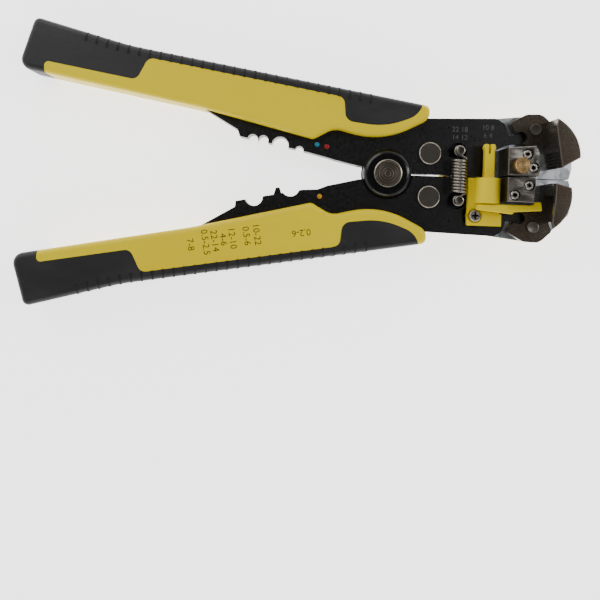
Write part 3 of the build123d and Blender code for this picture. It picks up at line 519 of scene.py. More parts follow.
# Paler metal on the rounded rims of rivet and post heads: a painted highlight of the edge's reflection.
RIM_HIGHLIGHT = BrightMetal("rubbed_rivet_rim", "A59E90", 0.28, 1.0, slot="rivet_steel", pit="6E6960")
PIN_STEEL = BrightMetal("ground_pin_steel", "6F6A62", 0.36, 1.0, slot="rivet_steel")
POST_STEEL = BrightMetal("phosphated_post_steel", "4B4843", 0.34, 1.0, slot="screw_steel")
# Near-black metal in the lobed recesses: painted shade of the socket.
SOCKET_SHADE = BrightMetal("oiled_socket", "191715", 0.5, 1.0, slot="screw_steel")
BLUE = Enamel("enamel_blue", "1E88A8", 0.25, slot="blue_paint")
RED = Enamel("enamel_red", "A01F22", 0.25, slot="red_paint")
AMBER = Enamel("enamel_amber", "D69A12", 0.25, slot="yellow_paint")
PRINT = Ink("pad_print_brown", "33290C", 0.55)
STAMP = BrightMetal("stamped_mark_bare_steel", "5C5D60", 0.45, 0.6)


# ---------------------------------------------------------------- mesh helpers
def finished(name: str, bm: bmesh.types.BMesh, body: str, finish: Finish, *nodes: str,
             sharp_deg: float = SHARP) -> bpy.types.Object:
    """Turn a finished bmesh into a piece that rides on a body.

    Args:
        name: Name of the piece.
        bm: Mesh in place, in metres. It is freed.
        body: Body that carries it, or "" for a piece on no body.
        finish: Its finish.
        *nodes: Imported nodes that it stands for.
        sharp_deg: Edges sharper than this stay crisp.

    Returns:
        The new object.
    """
    bmesh.ops.recalc_face_normals(bm, faces=bm.faces)
    mesh = bpy.data.meshes.new(name)
    bm.to_mesh(mesh)
    bm.free()
    return placed(name, mesh, body, finish, *nodes, sharp_deg=sharp_deg)


def placed(name: str, mesh: bpy.types.Mesh, body: str, finish: Finish, *nodes: str,
           sharp_deg: float = SHARP) -> bpy.types.Object:
    """Link a mesh as a piece, shade it, dress it and put it on its body.

    Args:
        name: Name of the piece.
        mesh: Mesh in place, in metres.
        body: Body that carries it, or "" for a piece on no body.
        finish: Its finish.
        *nodes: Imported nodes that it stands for.
        sharp_deg: Edges sharper than this stay crisp.

    Returns:
        The new object.
    """
    mesh.shade_smooth()
    mesh.set_sharp_from_angle(angle=math.radians(sharp_deg))
    made = bpy.data.objects.new(name, mesh)
    dressed(made, finish)
    bpy.context.scene.collection.objects.link(made)
    if body:
        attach(made, body)
    if nodes:
        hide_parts(*nodes)
    LOG.info("%s: %d faces on %s", name, len(mesh.polygons), body or "two bodies")
    return made


def dressed(packed: bpy.types.Object, finish: Finish) -> None:
    """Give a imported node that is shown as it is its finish."""
    packed.data.materials.clear()
    packed.data.materials.append(finish.material())


def trimmed(made: bpy.types.Object, finish: Finish, picked: Callable[[Vector, Vector], bool]) -> None:
    """Give some faces of a piece a second finish.

    Args:
        made: The piece.
        finish: Its second finish.
        picked: Says from a face's middle and normal whether it takes that finish.
    """
    made.data.materials.append(finish.material())
    for polygon in made.data.polygons:
        if picked(polygon.center, polygon.normal):
            polygon.material_index = len(made.data.materials) - 1


def off_axis(axis: Vector, point: Vector) -> float:
    """Distance of a point from an upright axis, in millimetres."""
    return math.hypot(point.x - axis.x, point.y - axis.y) / MM


def lathe(profile: Sequence[tuple[float, float]], centre: Vector, steps: int = 72) -> bmesh.types.BMesh:
    """Spin a profile about an upright axis.

    Args:
        profile: (radius, height) corners in millimetres, from one end of the axis to the other.
        centre: Any point on the axis, in metres.
        steps: Faces round the axis.

    Returns:
        The closed mesh.
    """
    bm = bmesh.new()
    corners = [bm.verts.new((radius * MM, 0, height * MM)) for radius, height in profile]
    edges = [bm.edges.new(pair) for pair in zip(corners, corners[1:])]
    bmesh.ops.spin(bm, geom=corners + edges, cent=(0, 0, 0), axis=(0, 0, 1), angle=2 * math.pi,
                   steps=steps, use_merge=True)
    bmesh.ops.remove_doubles(bm, verts=bm.verts, dist=WELD)
    bmesh.ops.translate(bm, verts=bm.verts, vec=(centre.x, centre.y, 0))
    return bm


def ringed(bm: bmesh.types.BMesh, edges: list, centre: Vector,
           steps: Sequence[tuple[float, float]]) -> list:
    """Pull a loop of edges through a row of rings, each given as a scale and a height.

    Args:
        bm: Mesh that grows.
        edges: Loop to start from.
        centre: Point on the axis.
        steps: (scale from the last ring, height in millimetres) of each ring.

    Returns:
        The last loop.
    """
    for scale, height in steps:
        grown = bmesh.ops.extrude_edge_only(bm, edges=edges)["geom"]
        edges = [item for item in grown if isinstance(item, bmesh.types.BMEdge)]
        edges = [edge for edge in edges if not edge.link_faces or len(edge.link_faces) == 1]
        corners = list({corner for edge in edges for corner in edge.verts})
        bmesh.ops.scale(bm, verts=corners, vec=(scale, scale, 1), space=Matrix.Translation(-centre))
        rise = height * MM - corners[0].co.z
        bmesh.ops.translate(bm, verts=corners, vec=(0, 0, rise))
    return edges


def merged(parts: Sequence[bmesh.types.BMesh]) -> bmesh.types.BMesh:
    """Put several meshes in one.

    Args:
        parts: Meshes to take. They are freed.

    Returns:
        One mesh with all of them.
    """
    whole = bmesh.new()
    for part in parts:
        carrier = bpy.data.meshes.new("carrier")
        part.to_mesh(carrier)
        part.free()
        whole.from_mesh(carrier)
        bpy.data.meshes.remove(carrier)
    return whole


def middle(node: str) -> Vector:
    """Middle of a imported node's box."""
    low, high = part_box(node)
    return (low + high) / 2


def islands(source: bpy.types.Object) -> list[tuple[Vector, Vector]]:
    """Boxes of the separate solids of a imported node.

    Args:
        source: The node's object.

    Returns:
        (lowest corner, highest corner) of each solid, in the order of their first corner.
    """
    bm = bmesh.new()
    bm.from_mesh(source.data)
    bmesh.ops.remove_doubles(bm, verts=bm.verts, dist=WELD)
    left = dict.fromkeys(bm.verts)
    boxes = []
    while left:
        group, queue = [], [next(iter(left))]
        left.pop(queue[0])
        while queue:
            corner = queue.pop()
            group.append(corner.co)
            for edge in corner.link_edges:
                other = edge.other_vert(corner)
                if other in left:
                    left.pop(other)
                    queue.append(other)
        boxes.append((Vector(map(min, *group)), Vector(map(max, *group))))
    bm.free()
    return boxes


@dataclass(frozen=True)
class ScrewForm:
    """Headed screw with a lobed recess, standing upright. Sizes in millimetres."""

    lobes: int
    reach: float                # radius of the recess
    waist: float                # share of that radius between two lobes
    depth: float
    head: float                 # thickness of the head
    shank_r: float
    dome: float                 # how far the head's edge lies below its face
    face_up: bool = True
    per_lobe: int = 6
    rim_share: float = 0.84     # flat part of the face

    def holds(self, faces: Sequence[Vector], point: Vector) -> bool:
        """Whether a point lies in the recess of one of these screws.

        Args:
            faces: Middle of each screw's face.
            point: Middle of a face of the mesh.

        Returns:
            True inside a recess.
        """
        return any(off_axis(face, point) < self.reach * 0.97
                   and 0.02 < abs(face.z - point.z) / MM < self.depth + 0.05 for face in faces)

    def turn(self, low: Vector, high: Vector) -> bmesh.types.BMesh:
        """Make one screw.

        Args:
            low: Lowest corner of its box, in metres.
            high: Highest corner of its box.

        Returns:
            The closed mesh.
        """
        sign = 1 if self.face_up else -1
        top, end = (high.z / MM, low.z / MM)[::sign]
        axis = Vector((*((low + high) / 2).xy, top * MM))
        head_r = (high.x - low.x) / 2 / MM
        place = Matrix.Translation(axis)
        bm = bmesh.new()
        count = self.lobes * self.per_lobe
        star = bmesh.ops.create_circle(bm, segments=count, radius=self.reach * MM, matrix=place)["verts"]
        for number, corner in enumerate(star):
            share = 0.5 - 0.5 * math.cos(2 * math.pi * number / self.per_lobe)
            factor = 1 - (1 - self.waist) * share
            bmesh.ops.scale(bm, verts=[corner], vec=(factor, factor, 1), space=Matrix.Translation(-axis))
        rim_r = head_r * self.rim_share * MM
        rim = bmesh.ops.create_circle(bm, segments=count, radius=rim_r, matrix=place)["verts"]
        inner, outer = (list({edge for corner in loop for edge in corner.link_edges}) for loop in (star, rim))
        bmesh.ops.bridge_loops(bm, edges=inner + outer)
        floor = ringed(bm, inner, axis, [(0.94, top - sign * self.depth * 0.85),
                                         (0.5, top - sign * self.depth)])
        seat = top - sign * self.head
        tail = ringed(bm, outer, axis, [
            (1 / self.rim_share * 0.95, top - sign * (0.08 + self.dome * 0.35)),
            (1 / 0.95, top - sign * (0.25 + self.dome)), (1.0, seat), (self.shank_r / head_r, seat),
            (1.0, end)])
        for edges in (floor, tail):
            bmesh.ops.edgeloop_fill(bm, edges=edges)
        return bm

    def fit(self, source: bpy.types.Object, body: str) -> None:
        """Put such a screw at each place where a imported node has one.

        Args:
            source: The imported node.
            body: Body that carries them.
        """
        places = islands(source)
        faces = [Vector((*((low + high) / 2).xy, (high if self.face_up else low).z)) for low, high in places]
        whole = merged([self.turn(low, high) for low, high in places])
        made = finished(f"{source.name}_shown", whole, body, NICKEL, source.name)
        # the recess faces get painted shade
        trimmed(made, SOCKET_SHADE, lambda point, _: self.holds(faces, point))


@dataclass(frozen=True)
class Turned:
    """A packed round piece: its node, ends and radius in millimetres, and its axis in metres."""

    node: str
    low: float
    high: float
    radius: float
    axis: Vector

    @classmethod
    def of(cls, node: str) -> "Turned":
        """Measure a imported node."""
        low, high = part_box(node)
        return cls(node, low.z / MM, high.z / MM, (high.x - low.x) / 2 / MM, (low + high) / 2)


def softened(node: str, finish: Finish, edge_mm: float, frame: dict, segments: int = 2,
             bores: Sequence[Vector] = ()) -> bpy.types.Object:
    """Stand-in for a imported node, of its own shape with its hard edges broken.

    Args:
        node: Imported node.
        finish: Finish of the stand-in.
        edge_mm: Width of the broken edges.
        segments: Faces across a broken edge.
        bores: Points on the axes of bores. The faces round them are parted, so that none has a hole.

    Returns:
        The new object.
    """
    source = frame["nodes"][node]
    bm = bmesh.new()
    bm.from_mesh(source.data)
    bmesh.ops.remove_doubles(bm, verts=bm.verts, dist=WELD)
    bmesh.ops.dissolve_limit(bm, angle_limit=math.radians(0.6), verts=bm.verts, edges=bm.edges)
    for point in bores:
        for way in (Vector((1, 0, 0)), Vector((0, 1, 0))):
            everything = [*bm.verts, *bm.edges, *bm.faces]
            bmesh.ops.bisect_plane(bm, geom=everything, dist=WELD, plane_co=point, plane_no=way)
    mesh = bpy.data.meshes.new(f"{node}_shape")
    bm.to_mesh(mesh)
    bm.free()
    made = placed(f"{node}_shown", mesh, source["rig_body"], finish, node)
    broken = made.modifiers.new("broken_edges", "BEVEL")
    broken.width = edge_mm * MM
    broken.segments = segments
    broken.limit_method = "ANGLE"
    broken.angle_limit = math.radians(SHARP)
    broken.use_clamp_overlap = True
    broken.harden_normals = False
    return made


def wire(name: str, points: Sequence[Vector], radius_mm: float) -> bpy.types.Mesh:
    """Round wire along a smooth line.

    Args:
        name: Name of the mesh.
        points: Control points in metres.
        radius_mm: Radius of the wire.

    Returns:
        The wire's mesh.
    """
    curve = bpy.data.curves.new(name, "CURVE")
    curve.dimensions = "3D"
    curve.bevel_depth = radius_mm * MM
    curve.bevel_resolution = 3
    curve.use_fill_caps = True
    spline = curve.splines.new("NURBS")
    spline.points.add(len(points) - 1)
    for slot, point in zip(spline.points, points):
        slot.co = (*point, 1)
    spline.order_u = 3
    spline.use_endpoint_u = True
    spline.resolution_u = 3
    carrier = bpy.data.objects.new(name, curve)
    bpy.context.scene.collection.objects.link(carrier)
    mesh = bpy.data.meshes.new_from_object(carrier.evaluated_get(bpy.context.evaluated_depsgraph_get()))
    bpy.data.objects.remove(carrier)
    bpy.data.curves.remove(curve)
    return mesh


# ---------------------------------------------------------------- sub-assemblies
@dataclass
class MainPivot:
    """Main rivet with its turned face and broad tail."""

    head_r: float = 5.3
    shank_r: float = 3.5
    head_mm: float = 1.5
    tail_mm: float = 1.8
    face_drop: float = 0.16     # the ringed face lies this far below the rim
    ring_depth: float = 0.07
    ring_radii: tuple[float, ...] = (1.1, 2.1, 3.1, 3.9)
    rim_width: float = 0.5

    def profile(self, packed: Turned) -> list[Pair]:
        """Corners of the turned rivet, tail first.

        Args:
            packed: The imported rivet.

        Returns:
            (radius, height) corners in millimetres.
        """
        low, high, edge = packed.low, packed.high, self.head_r
        under, over, face = high - self.head_mm, low + self.tail_mm, high - self.face_drop
        tail = [(0, low), (edge - 0.7, low), (edge - 0.15, low + 0.2), (edge, low + 0.6), (edge, over),
                (self.shank_r, over)]
        head = [(self.shank_r, under), (edge, under), (edge, high - 0.5), (edge - 0.12, high - 0.16),
                (edge - 0.45, high), (edge - 0.75, high - 0.02), (edge - 0.95, high - 0.2)]
        for radius in reversed(self.ring_radii):
            head += [(radius + 0.16, face), (radius, face - self.ring_depth), (radius - 0.16, face)]
        return tail + head + [(0.35, face), (0, face - 0.12)]

    def build(self) -> None:
        """Turn the rivet and dress it with rings about the pivot axis."""
        packed = Turned.of("main_pivot_rivet")
        finish = TurnedMetal("turned_rivet_face", "5F574E", 0.36, 1.0, "rivet_steel",
                             centre=tuple(packed.axis.xy), ring_mm=0.42, dark="2E2925")
        shape = lathe(self.profile(packed), packed.axis, 96)
        made = finished("main_pivot_shown", shape, "lower_arm", finish, packed.node)
        # faces beyond this radius get the rim's painted highlight
        rim = self.head_r - self.rim_width
        trimmed(made, RIM_HIGHLIGHT, lambda centre, _: off_axis(packed.axis, centre) > rim)


@dataclass
class SteelPins:
    """Drive rivets, jaw pins and spring posts: cold-headed steel; the bright rims are a painted highlight in
    paler metal.
    """

    drive_shank_r: float = 2.5
    drive_head_mm: float = 1.0
    drive_rim: float = 0.42
    pin_r: float = 2.3
    pin_flange_mm: float = 1.1
    front_neck_r: float = 1.2
    rear_neck_r: float = 0.85
    post_rim: float = 0.4
    post_dimple: float = 0.35

    def drive_rivet(self, side: Side) -> None:
        """Large rivet of a handle, the same head in front and behind.

        Args:
            side: Handle that it belongs to.
        """
        packed = Turned.of(f"{side.word}_drive_rivet")
        high, edge = packed.high, packed.radius
        seat = high - self.drive_head_mm
        front = [(self.drive_shank_r, seat), (edge, seat), (edge, high - 0.4), (edge - 0.05, high - 0.2),
                 (edge - 0.15, high - 0.06), (edge - 0.28, high), (edge - self.drive_rim, high - 0.06),
                 (edge - 0.5, high - 0.16), (0, high - 0.16)]
        flip = high + packed.low
        back = [(radius, flip - height) for radius, height in reversed(front)]
        made = finished(f"{packed.node}_shown", lathe(back + front, packed.axis), side.handle, PLAIN_RIVET,
                        packed.node)
        # the rounded rim gets a painted highlight in paler metal
        trimmed(made, RIM_HIGHLIGHT, lambda centre, _: off_axis(packed.axis, centre) > edge - self.drive_rim)

    def jaw_pin(self, side: Side) -> None:
        """Pin of a swing jaw with a slightly crowned face and a flanged tail.

        Args:
            side: Arm that it stands in.
        """
        packed = Turned.of(f"{side.word}_jaw_pin")
        low, high, tail_r = packed.low, packed.high, packed.radius
        flange = low + self.pin_flange_mm
        profile = [(0, low), (tail_r - 0.2, low), (tail_r, low + 0.2), (tail_r, flange), (self.pin_r, flange),
                   (self.pin_r, high - 0.3), (self.pin_r - 0.12, high - 0.08), (self.pin_r - 0.4, high),
                   (self.pin_r - 0.55, high - 0.06), (0, high - 0.02)]
        finished(f"{packed.node}_shown", lathe(profile, packed.axis), side.arm, PIN_STEEL, packed.node)

    def front_post(self, side: Side, neck_z: float, wire_r: float) -> None:
        """Post of the front spring: waist for the hook, rounded head with a centre dimple.

        Args:
            side: Arm that it stands in.
            neck_z: Height of the hook, in millimetres.
            wire_r: Radius of the spring's wire.
        """
        packed = Turned.of(f"{side.word}_front_post")
        profile = self.waisted(packed, self.front_neck_r, neck_z, wire_r)
        made = finished(f"{packed.node}_shown", lathe(profile, packed.axis, 48), side.arm, POST_STEEL,
                        packed.node)
        # upward faces of the rounded rim get a painted highlight in paler metal
        rim = packed.radius - self.post_rim
        trimmed(made, RIM_HIGHLIGHT, lambda centre, out: out.z > 0.1 and off_axis(packed.axis, centre) > rim)

    def rear_post(self, side: Side, neck_z: float, wire_r: float) -> None:
        """Post of the rear spring, headed at the back.

        Args:
            side: Arm that it stands in.
            neck_z: Height of the hook, in millimetres.
            wire_r: Radius of the spring's wire.
        """
        packed = Turned.of(f"{side.word}_rear_post")
        flip = packed.low + packed.high
        turned = self.waisted(packed, self.rear_neck_r, flip - neck_z, wire_r)
        profile = [(radius, flip - height) for radius, height in reversed(turned)]
        finished(f"{packed.node}_shown", lathe(profile, packed.axis, 40), side.arm, POST_STEEL, packed.node)

    def waisted(self, packed: Turned, neck_r: float, neck_z: float, wire_r: float) -> list[Pair]:
        """Profile of a post with a waist and a dimpled head.

        Args:
            packed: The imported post.
            neck_r: Radius of the waist.
            neck_z: Height of its middle.
            wire_r: Radius of the spring's wire.

        Returns:
            (radius, height) corners in millimetres.
        """
        low, high, radius, waist = packed.low, packed.high, packed.radius, wire_r + 0.1
        return [(0, low), (radius, low), (radius, neck_z - waist), (neck_r, neck_z - waist),
                (neck_r, neck_z + waist), (radius, neck_z + waist), (radius, high - 0.28),
                (radius - 0.1, high - 0.08), (radius - 0.32, high), (radius - 0.5, high - 0.1),
                (self.post_dimple, high - 0.1), (self.post_dimple * 0.5, high - 0.3), (0, high - 0.34)]


@dataclass
class ReturnSpring:
    """Extension spring between two posts, one on each arm, with a ring hooked round each post."""

    place: str
    coil_r: float
    wire_r: float
    coils: int
    body_mm: float
    neck_r: float
    per_turn: int = 14
    ring_steps: int = 13
    ring_start: float = -110.0
    ring_step: float = 25.0

    def line(self, ends: dict[Side, Vector], axis: Vector) -> list[Vector]:
        """Points of the whole wire: one hook, the coils, the other hook.

        Args:
            ends: Middle of each post.
            axis: Middle of the spring.

        Returns:
            The points in metres.
        """
        ring_r = (self.neck_r + self.wire_r + 0.05) * MM
        coil = []
        total = self.coils * self.per_turn
        for number in range(total + 1):
            share = number / total
            angle = 2 * math.pi * self.coils * share
            coil.append(axis + Vector((self.coil_r * math.cos(angle), (share - 0.5) * self.body_mm,
                                       self.coil_r * math.sin(angle))) * MM)
        lower, upper = (self.hook(ends[side], axis, ring_r, side.value) for side in (Side.LOWER, Side.UPPER))
        return lower[::-1] + coil + upper

    def hook(self, post: Vector, axis: Vector, ring_r: float, sign: int) -> list[Vector]:
        """Hook from the coil's end round a post.

        Args:
            post: Point on the post's axis.
            axis: Middle of the spring.
            ring_r: Radius of the hook's ring.
            sign: 1 for the end towards +Y.

        Returns:
            The hook's points, coil end first.
        """
        gap = abs(post.y - axis.y) - self.body_mm * MM / 2 - ring_r
        start = axis.y + sign * self.body_mm * MM / 2
        lead = [Vector((axis.x + self.coil_r * MM * 0.86, start + sign * gap * 0.3, axis.z)),
                Vector((axis.x + self.coil_r * MM * 0.35, start + sign * gap * 0.75, axis.z))]
        ring = []
        for step in range(self.ring_steps):
            angle = math.radians(self.ring_start + self.ring_step * step)
            ring.append(Vector((post.x - ring_r * math.cos(angle), post.y + sign * ring_r * math.sin(angle),
                                axis.z)))
        return lead + ring

    def build(self) -> None:
        """Wind the spring and hook its ends round the posts of the two arms."""
        node = f"{self.place}_spring"
        ends = {side: middle(f"{side.word}_{self.place}_post") for side in Side}
        mesh = wire(f"{node}_wire", self.line(ends, middle(node)), self.wire_r)
        made = placed(f"{node}_shown", mesh, "", SPRING_WIRE, node, sharp_deg=60)
        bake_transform(made)


@dataclass
class BareArms:
    """Zinc-plated arms with the slotted tongue and the black guide bar behind them."""

    frame: dict
    edge_mm: float = 0.18

    def build(self) -> None:
        """Break the sheared edges and dress the sheet."""
        for side in Side:
            # posts and the stop screw, round which the sheet gets a ring of painted shade
            posts = [middle(f"{side.word}_front_post")]
            if side is Side.LOWER:
                posts.append(middle("stop_screw"))
            staked = tuple((post.x, post.y) for post in posts)
            zinc = replace(ZINC, name=f"{ZINC.name}_{side.word}", staked=staked)
            softened(f"{side.word}_arm", zinc, self.edge_mm, self.frame)
        softened("guide_bar", COATED, self.edge_mm, self.frame)
        dressed(self.frame["nodes"]["guide_bar_rivets"], PLAIN_RIVET)


@dataclass
class Handle:
    """One handle: three plates, two-material grip, tread, print and colour marks."""

    side: Side
    frame: dict
    edge_mm: float = 0.22
    seam_mm: float = 0.28
    tread_pitch: float = 3.9
    tread_wire: float = 0.7
    tread_proud: float = 0.34
    tread_lean: float = 2.1
    tread_tail: float = 22.0
    tread_nose: float = 18.0
    edge_turn: float = 2.0
    rib_root: float = 1.1       # how deep the ends of a rib turn into the rubber
    far_out: float = 0.2        # metres off the axis, outside the sleeve
    tread_levels: tuple[float, ...] = (-1.0, -0.93, -0.8, -0.4, 0.0, 0.4, 0.8, 0.93, 1.0)

    def build(self) -> None:
        """Make and dress every piece of the handle."""
        word = self.side.word
        for plate in ("front_plate", "rear_plate", "crimp_plate"):
            made = softened(f"{word}_{plate}", COATED, self.edge_mm, self.frame)
            if plate == "front_plate" and self.side is Side.UPPER:
                self.gloss_boss(made)
        softened(f"{word}_grip_core", YELLOW, self.seam_mm, self.frame, 3)
        softened(f"{word}_grip_sleeve", RUBBER, self.seam_mm, self.frame, 3)
        dressed(self.frame["nodes"][f"{word}_plate_rivets"], PLAIN_RIVET)
        self.tread()

    def gloss_boss(self, plate: bpy.types.Object) -> None:
        """Give the raised boss of the front plate its smoother, glossier coat."""
        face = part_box("lower_front_plate")[1].z + 0.02 * MM
        trimmed(plate, BOSS, lambda centre, _: centre.z > face)

    def rib(self, tree: BVHTree, x: float, middle_z: float, half: float) -> bmesh.types.BMesh:
        """One leaning chevron rib round the outer edge of the sleeve.

        Args:
            tree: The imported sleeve.
            x: Where along the tool, in metres.
            middle_z: Middle height of the sleeve.
            half: Half of its thickness.

        Returns:
            The rib's mesh.
        """
        start = Vector((x, self.side.value * self.far_out, middle_z))
        base, facing, _, _ = tree.ray_cast(start, Vector((0, -self.side.value, 0)))
        out = Vector((facing.x, facing.y, 0)).normalized()
        along = Vector((-out.y, out.x, 0)) * -self.side.value
        sunk = (self.tread_wire - self.tread_proud) * MM
        below = (self.tread_wire + 0.02) * MM          # keeps the lower end off the floor
        turn = self.edge_turn * MM
        points = []
        for level in self.tread_levels:
            rise = level * (half - (sunk if level > 0 else below))
            past = max(0.0, abs(rise) - (half - sunk - turn))
            inward = turn - math.sqrt(max(0.0, turn ** 2 - past ** 2))
            lean = along * (self.tread_lean * MM * (abs(level) - 0.5))
            points.append(base + lean - out * (inward + sunk) + Vector((0, 0, rise)))
        inner = out * self.rib_root * MM
        mesh = wire("rib", [points[0] - inner, *points, points[-1] - inner], self.tread_wire)
        part = bmesh.new()
        part.from_mesh(mesh)
        bpy.data.meshes.remove(mesh)
        return part

    def tread(self) -> None:
        """Row of leaning chevron ribs that wraps the outer edge of the grip, in a darker black than the
        sleeve: painted shade of the notches between them.
        """
        node = f"{self.side.word}_grip_sleeve"
        low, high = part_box(node)
        shape = bmesh.new()
        shape.from_mesh(self.frame["nodes"][node].data)
        tree = BVHTree.FromBMesh(shape)
        shape.free()
        first, last = low.x + self.tread_tail * MM, high.x - self.tread_nose * MM
        count = int((last - first) / (self.tread_pitch * MM))
        places = [first + (last - first) * (number + 0.5) / count for number in range(count)]
        ribs = [self.rib(tree, x, (low.z + high.z) / 2, (high.z - low.z) / 2) for x in places]
        finished(f"{self.side.word}_grip_tread", merged(ribs), self.side.handle, SHADED_TREAD, sharp_deg=60)


@dataclass
class ColourMarks:
    """Three enamel dabs by the crimp notches."""

    dome_mm: float = 0.14

    def build(self) -> None:
        """Drop one domed dab on each mark."""
        for node, body, finish in (("blue_mark", "upper_handle", BLUE), ("red_mark", "upper_handle", RED),
                                   ("yellow_mark", "lower_handle", AMBER)):
            packed = Turned.of(node)
            base, radius, dome = packed.low, packed.radius, self.dome_mm
            profile = [(0, base), (radius, base), (radius * 0.95, base + dome * 0.5),
                       (radius * 0.7, base + dome * 0.9), (0, base + dome)]
            finished(f"{node}_shown", lathe(profile, packed.axis, 24), body, finish, node)


@dataclass
class Numbers:
    """Wire sizes printed on the lower grip and stamped in the upper plate."""

    print_size: float = 2.5
    stamp_size: float = 1.9
    film_mm: float = 0.02
    em: float = 1.4             # type size over the height of a number
    rows: tuple[tuple[str, float], ...] = (
        ("10-22", -48.0), ("0.5-6", -51.8), ("12-10", -57.0), ("4-6", -60.3), ("22-14", -63.5),
        ("0.5-2.5", -66.9), ("7-8", -72.4))
    rows_start: Pair = (-48.0, -24.4)
    rows_slope: float = 0.19    # they follow the grip outwards
    rows_turn: float = -80.0
    side_note: tuple[str, float, float, float] = ("0.2-6", -31.5, -23.2, 188.0)
    stamps: tuple[tuple[str, float, float], ...] = (
        ("22 18", 27.0, 17.6), ("14 12", 27.0, 14.6), ("10 8", 37.6, 18.6), ("6 4", 37.6, 15.6))

    def line(self, name: str, words: str, size_mm: float, place: Vector, turn_deg: float, body: str,
             finish: Finish) -> None:
        """Lay one line of numbers on a face.

        Args:
            name: Name of the piece.
            words: What it says.
            size_mm: Height of the numbers.
            place: Middle of the line, on the face.
            turn_deg: Turn of its reading direction from +X.
            body: Body that carries it.
            finish: Ink or stamped metal.
        """
        text = bpy.data.curves.new(name, "FONT")
        text.body = words
        text.size = size_mm * MM * self.em
        text.align_x = "CENTER"
        text.align_y = "CENTER"
        text.extrude = self.film_mm * MM / 2
        text.resolution_u = 3
        carrier = bpy.data.objects.new(name, text)
        bpy.context.scene.collection.objects.link(carrier)
        graph = bpy.context.evaluated_depsgraph_get()
        mesh = bpy.data.meshes.new_from_object(carrier.evaluated_get(graph))
        bpy.data.objects.remove(carrier)
        bpy.data.curves.remove(text)
        lift = Vector((0, 0, self.film_mm * MM / 2))
        mesh.transform(Matrix.Translation(place + lift) @ Matrix.Rotation(math.radians(turn_deg), 4, "Z"))
        placed(name, mesh, body, finish)

    def build(self) -> None:
        """Print the table of the lower grip, then stamp the upper plate."""
        skin, plate = (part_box(node)[1].z for node in ("lower_grip_core", "lower_front_plate"))
        start_x, start_y = self.rows_start
        for number, (words, x) in enumerate(self.rows):
            place = Vector((x * MM, (start_y + (x - start_x) * self.rows_slope) * MM, skin))
            self.line(f"print_{number}", words, self.print_size, place, self.rows_turn, "lower_handle", PRINT)
        words, x, y, turn = self.side_note
        self.line("print_side", words, self.print_size, Vector((x * MM, y * MM, skin)), turn, "lower_handle",
                  PRINT)
        for number, (words, x, y) in enumerate(self.stamps):
            place = Vector((x * MM, y * MM, plate))
            self.line(f"stamp_{number}", words, self.stamp_size, place, 0, "upper_handle", STAMP)


@dataclass
class SwingJaws:
    """Two sintered swing jaws, the small blade of the lower one, and their pins."""

    frame: dict
    pins: SteelPins
    edge_mm: float = 0.22
    blade_edge_mm: float = 0.05

    def build(self) -> None:
        """Break the pressed edges and dress them."""
        for side in Side:
            softened(f"{side.word}_jaw", SINTERED, self.edge_mm, self.frame)
        softened("lower_jaw_blade", HONED, self.blade_edge_mm, self.frame, 1)
        for side in Side:
            self.pins.jaw_pin(side)


@dataclass
class Blocks:
    """Gripping block, cutting block, their socket screws, the blade and the tension knob."""

    frame: dict
    edge_mm: float = 0.2
    blade_edge_mm: float = 0.05
    screw: ScrewForm = ScrewForm(6, 0.92, 0.74, 0.9, head=1.55, shank_r=0.9, dome=0.1)
    ribs: int = 24
    per_rib: int = 8
    rib_share: float = 0.075    # depth of the knurl over the knob's radius
    knob_mm: float = 3.2

    def build(self) -> None:
        """Make and dress every piece on the blocks."""
        blocks = ("gripping_block", "cutting_block")
        screws = {block: self.frame["nodes"][f"{block}_screws"] for block in blocks}
        for block, packed in screws.items():
            bores = [(low + high) / 2 for low, high in islands(packed)]
            softened(block, GROUND, self.edge_mm, self.frame, bores=bores)
        softened("cutting_block_blade", HONED, self.blade_edge_mm, self.frame, 1)
        for packed, body in zip(screws.values(), ("upper_arm", "lower_arm")):
            self.screw.fit(packed, body)
        self.knob()

    def knob(self) -> None:
        """Knurled brass knob: ribbed wall, chamfered and faced front."""
        packed = Turned.of("tension_knob")
        top, bottom = packed.high, packed.high - self.knob_mm
        hub = Vector((*packed.axis.xy, 0))
        bm = bmesh.new()
        place = Matrix.Translation((*packed.axis.xy, (bottom + 0.2) * MM))
        ring = bmesh.ops.create_circle(bm, segments=self.ribs * self.per_rib, radius=packed.radius * MM,
                                       matrix=place)
        for number, corner in enumerate(ring["verts"]):
            wave = abs(math.sin(math.pi * number / self.per_rib))
            factor = 1 - self.rib_share + self.rib_share * wave ** 0.6
            bmesh.ops.scale(bm, verts=[corner], vec=(factor, factor, 1), space=Matrix.Translation(-hub))
        edges = list(bm.edges)
        face = ringed(bm, edges, hub, [
            (1.0, top - 0.5), (0.955, top - 0.12), (0.95, top), (0.97, top - 0.02), (0.9, top - 0.06),
            (0.9, top - 0.02), (0.85, top - 0.06), (0.8, top - 0.02), (0.6, top - 0.05), (0.3, top - 0.02)])
        tail = ringed(bm, edges, hub, [(0.94, bottom), (0.44, bottom), (1.0, packed.low)])
        for loop in (face, tail):
            bmesh.ops.edgeloop_fill(bm, edges=loop)
        finish = TurnedMetal("turned_brass", "BFA070", 0.26, 1.0, "brass", centre=tuple(packed.axis.xy),
                             ring_mm=0.5, ring_share=0.75, dark="5E4420")
        finished("tension_knob_shown", bm, "tension_knob", finish, "tension_knob", sharp_deg=24)


@dataclass
class LengthStop:
    """Yellow length stop: bracket with its screw, and the slider that runs in it."""

    frame: dict
    edge_mm: float = 0.25
    screw: ScrewForm = ScrewForm(4, 1.35, 0.34, 0.9, head=1.8, shank_r=1.3, dome=0.35)

    def build(self) -> None:
        """Soften the moulded edges and add the cross-head screw."""
        for node in ("stop_bracket", "stop_slider"):
            softened(node, YELLOW, self.edge_mm, self.frame, 3)
        self.screw.fit(self.frame["nodes"]["stop_screw"], "lower_arm")


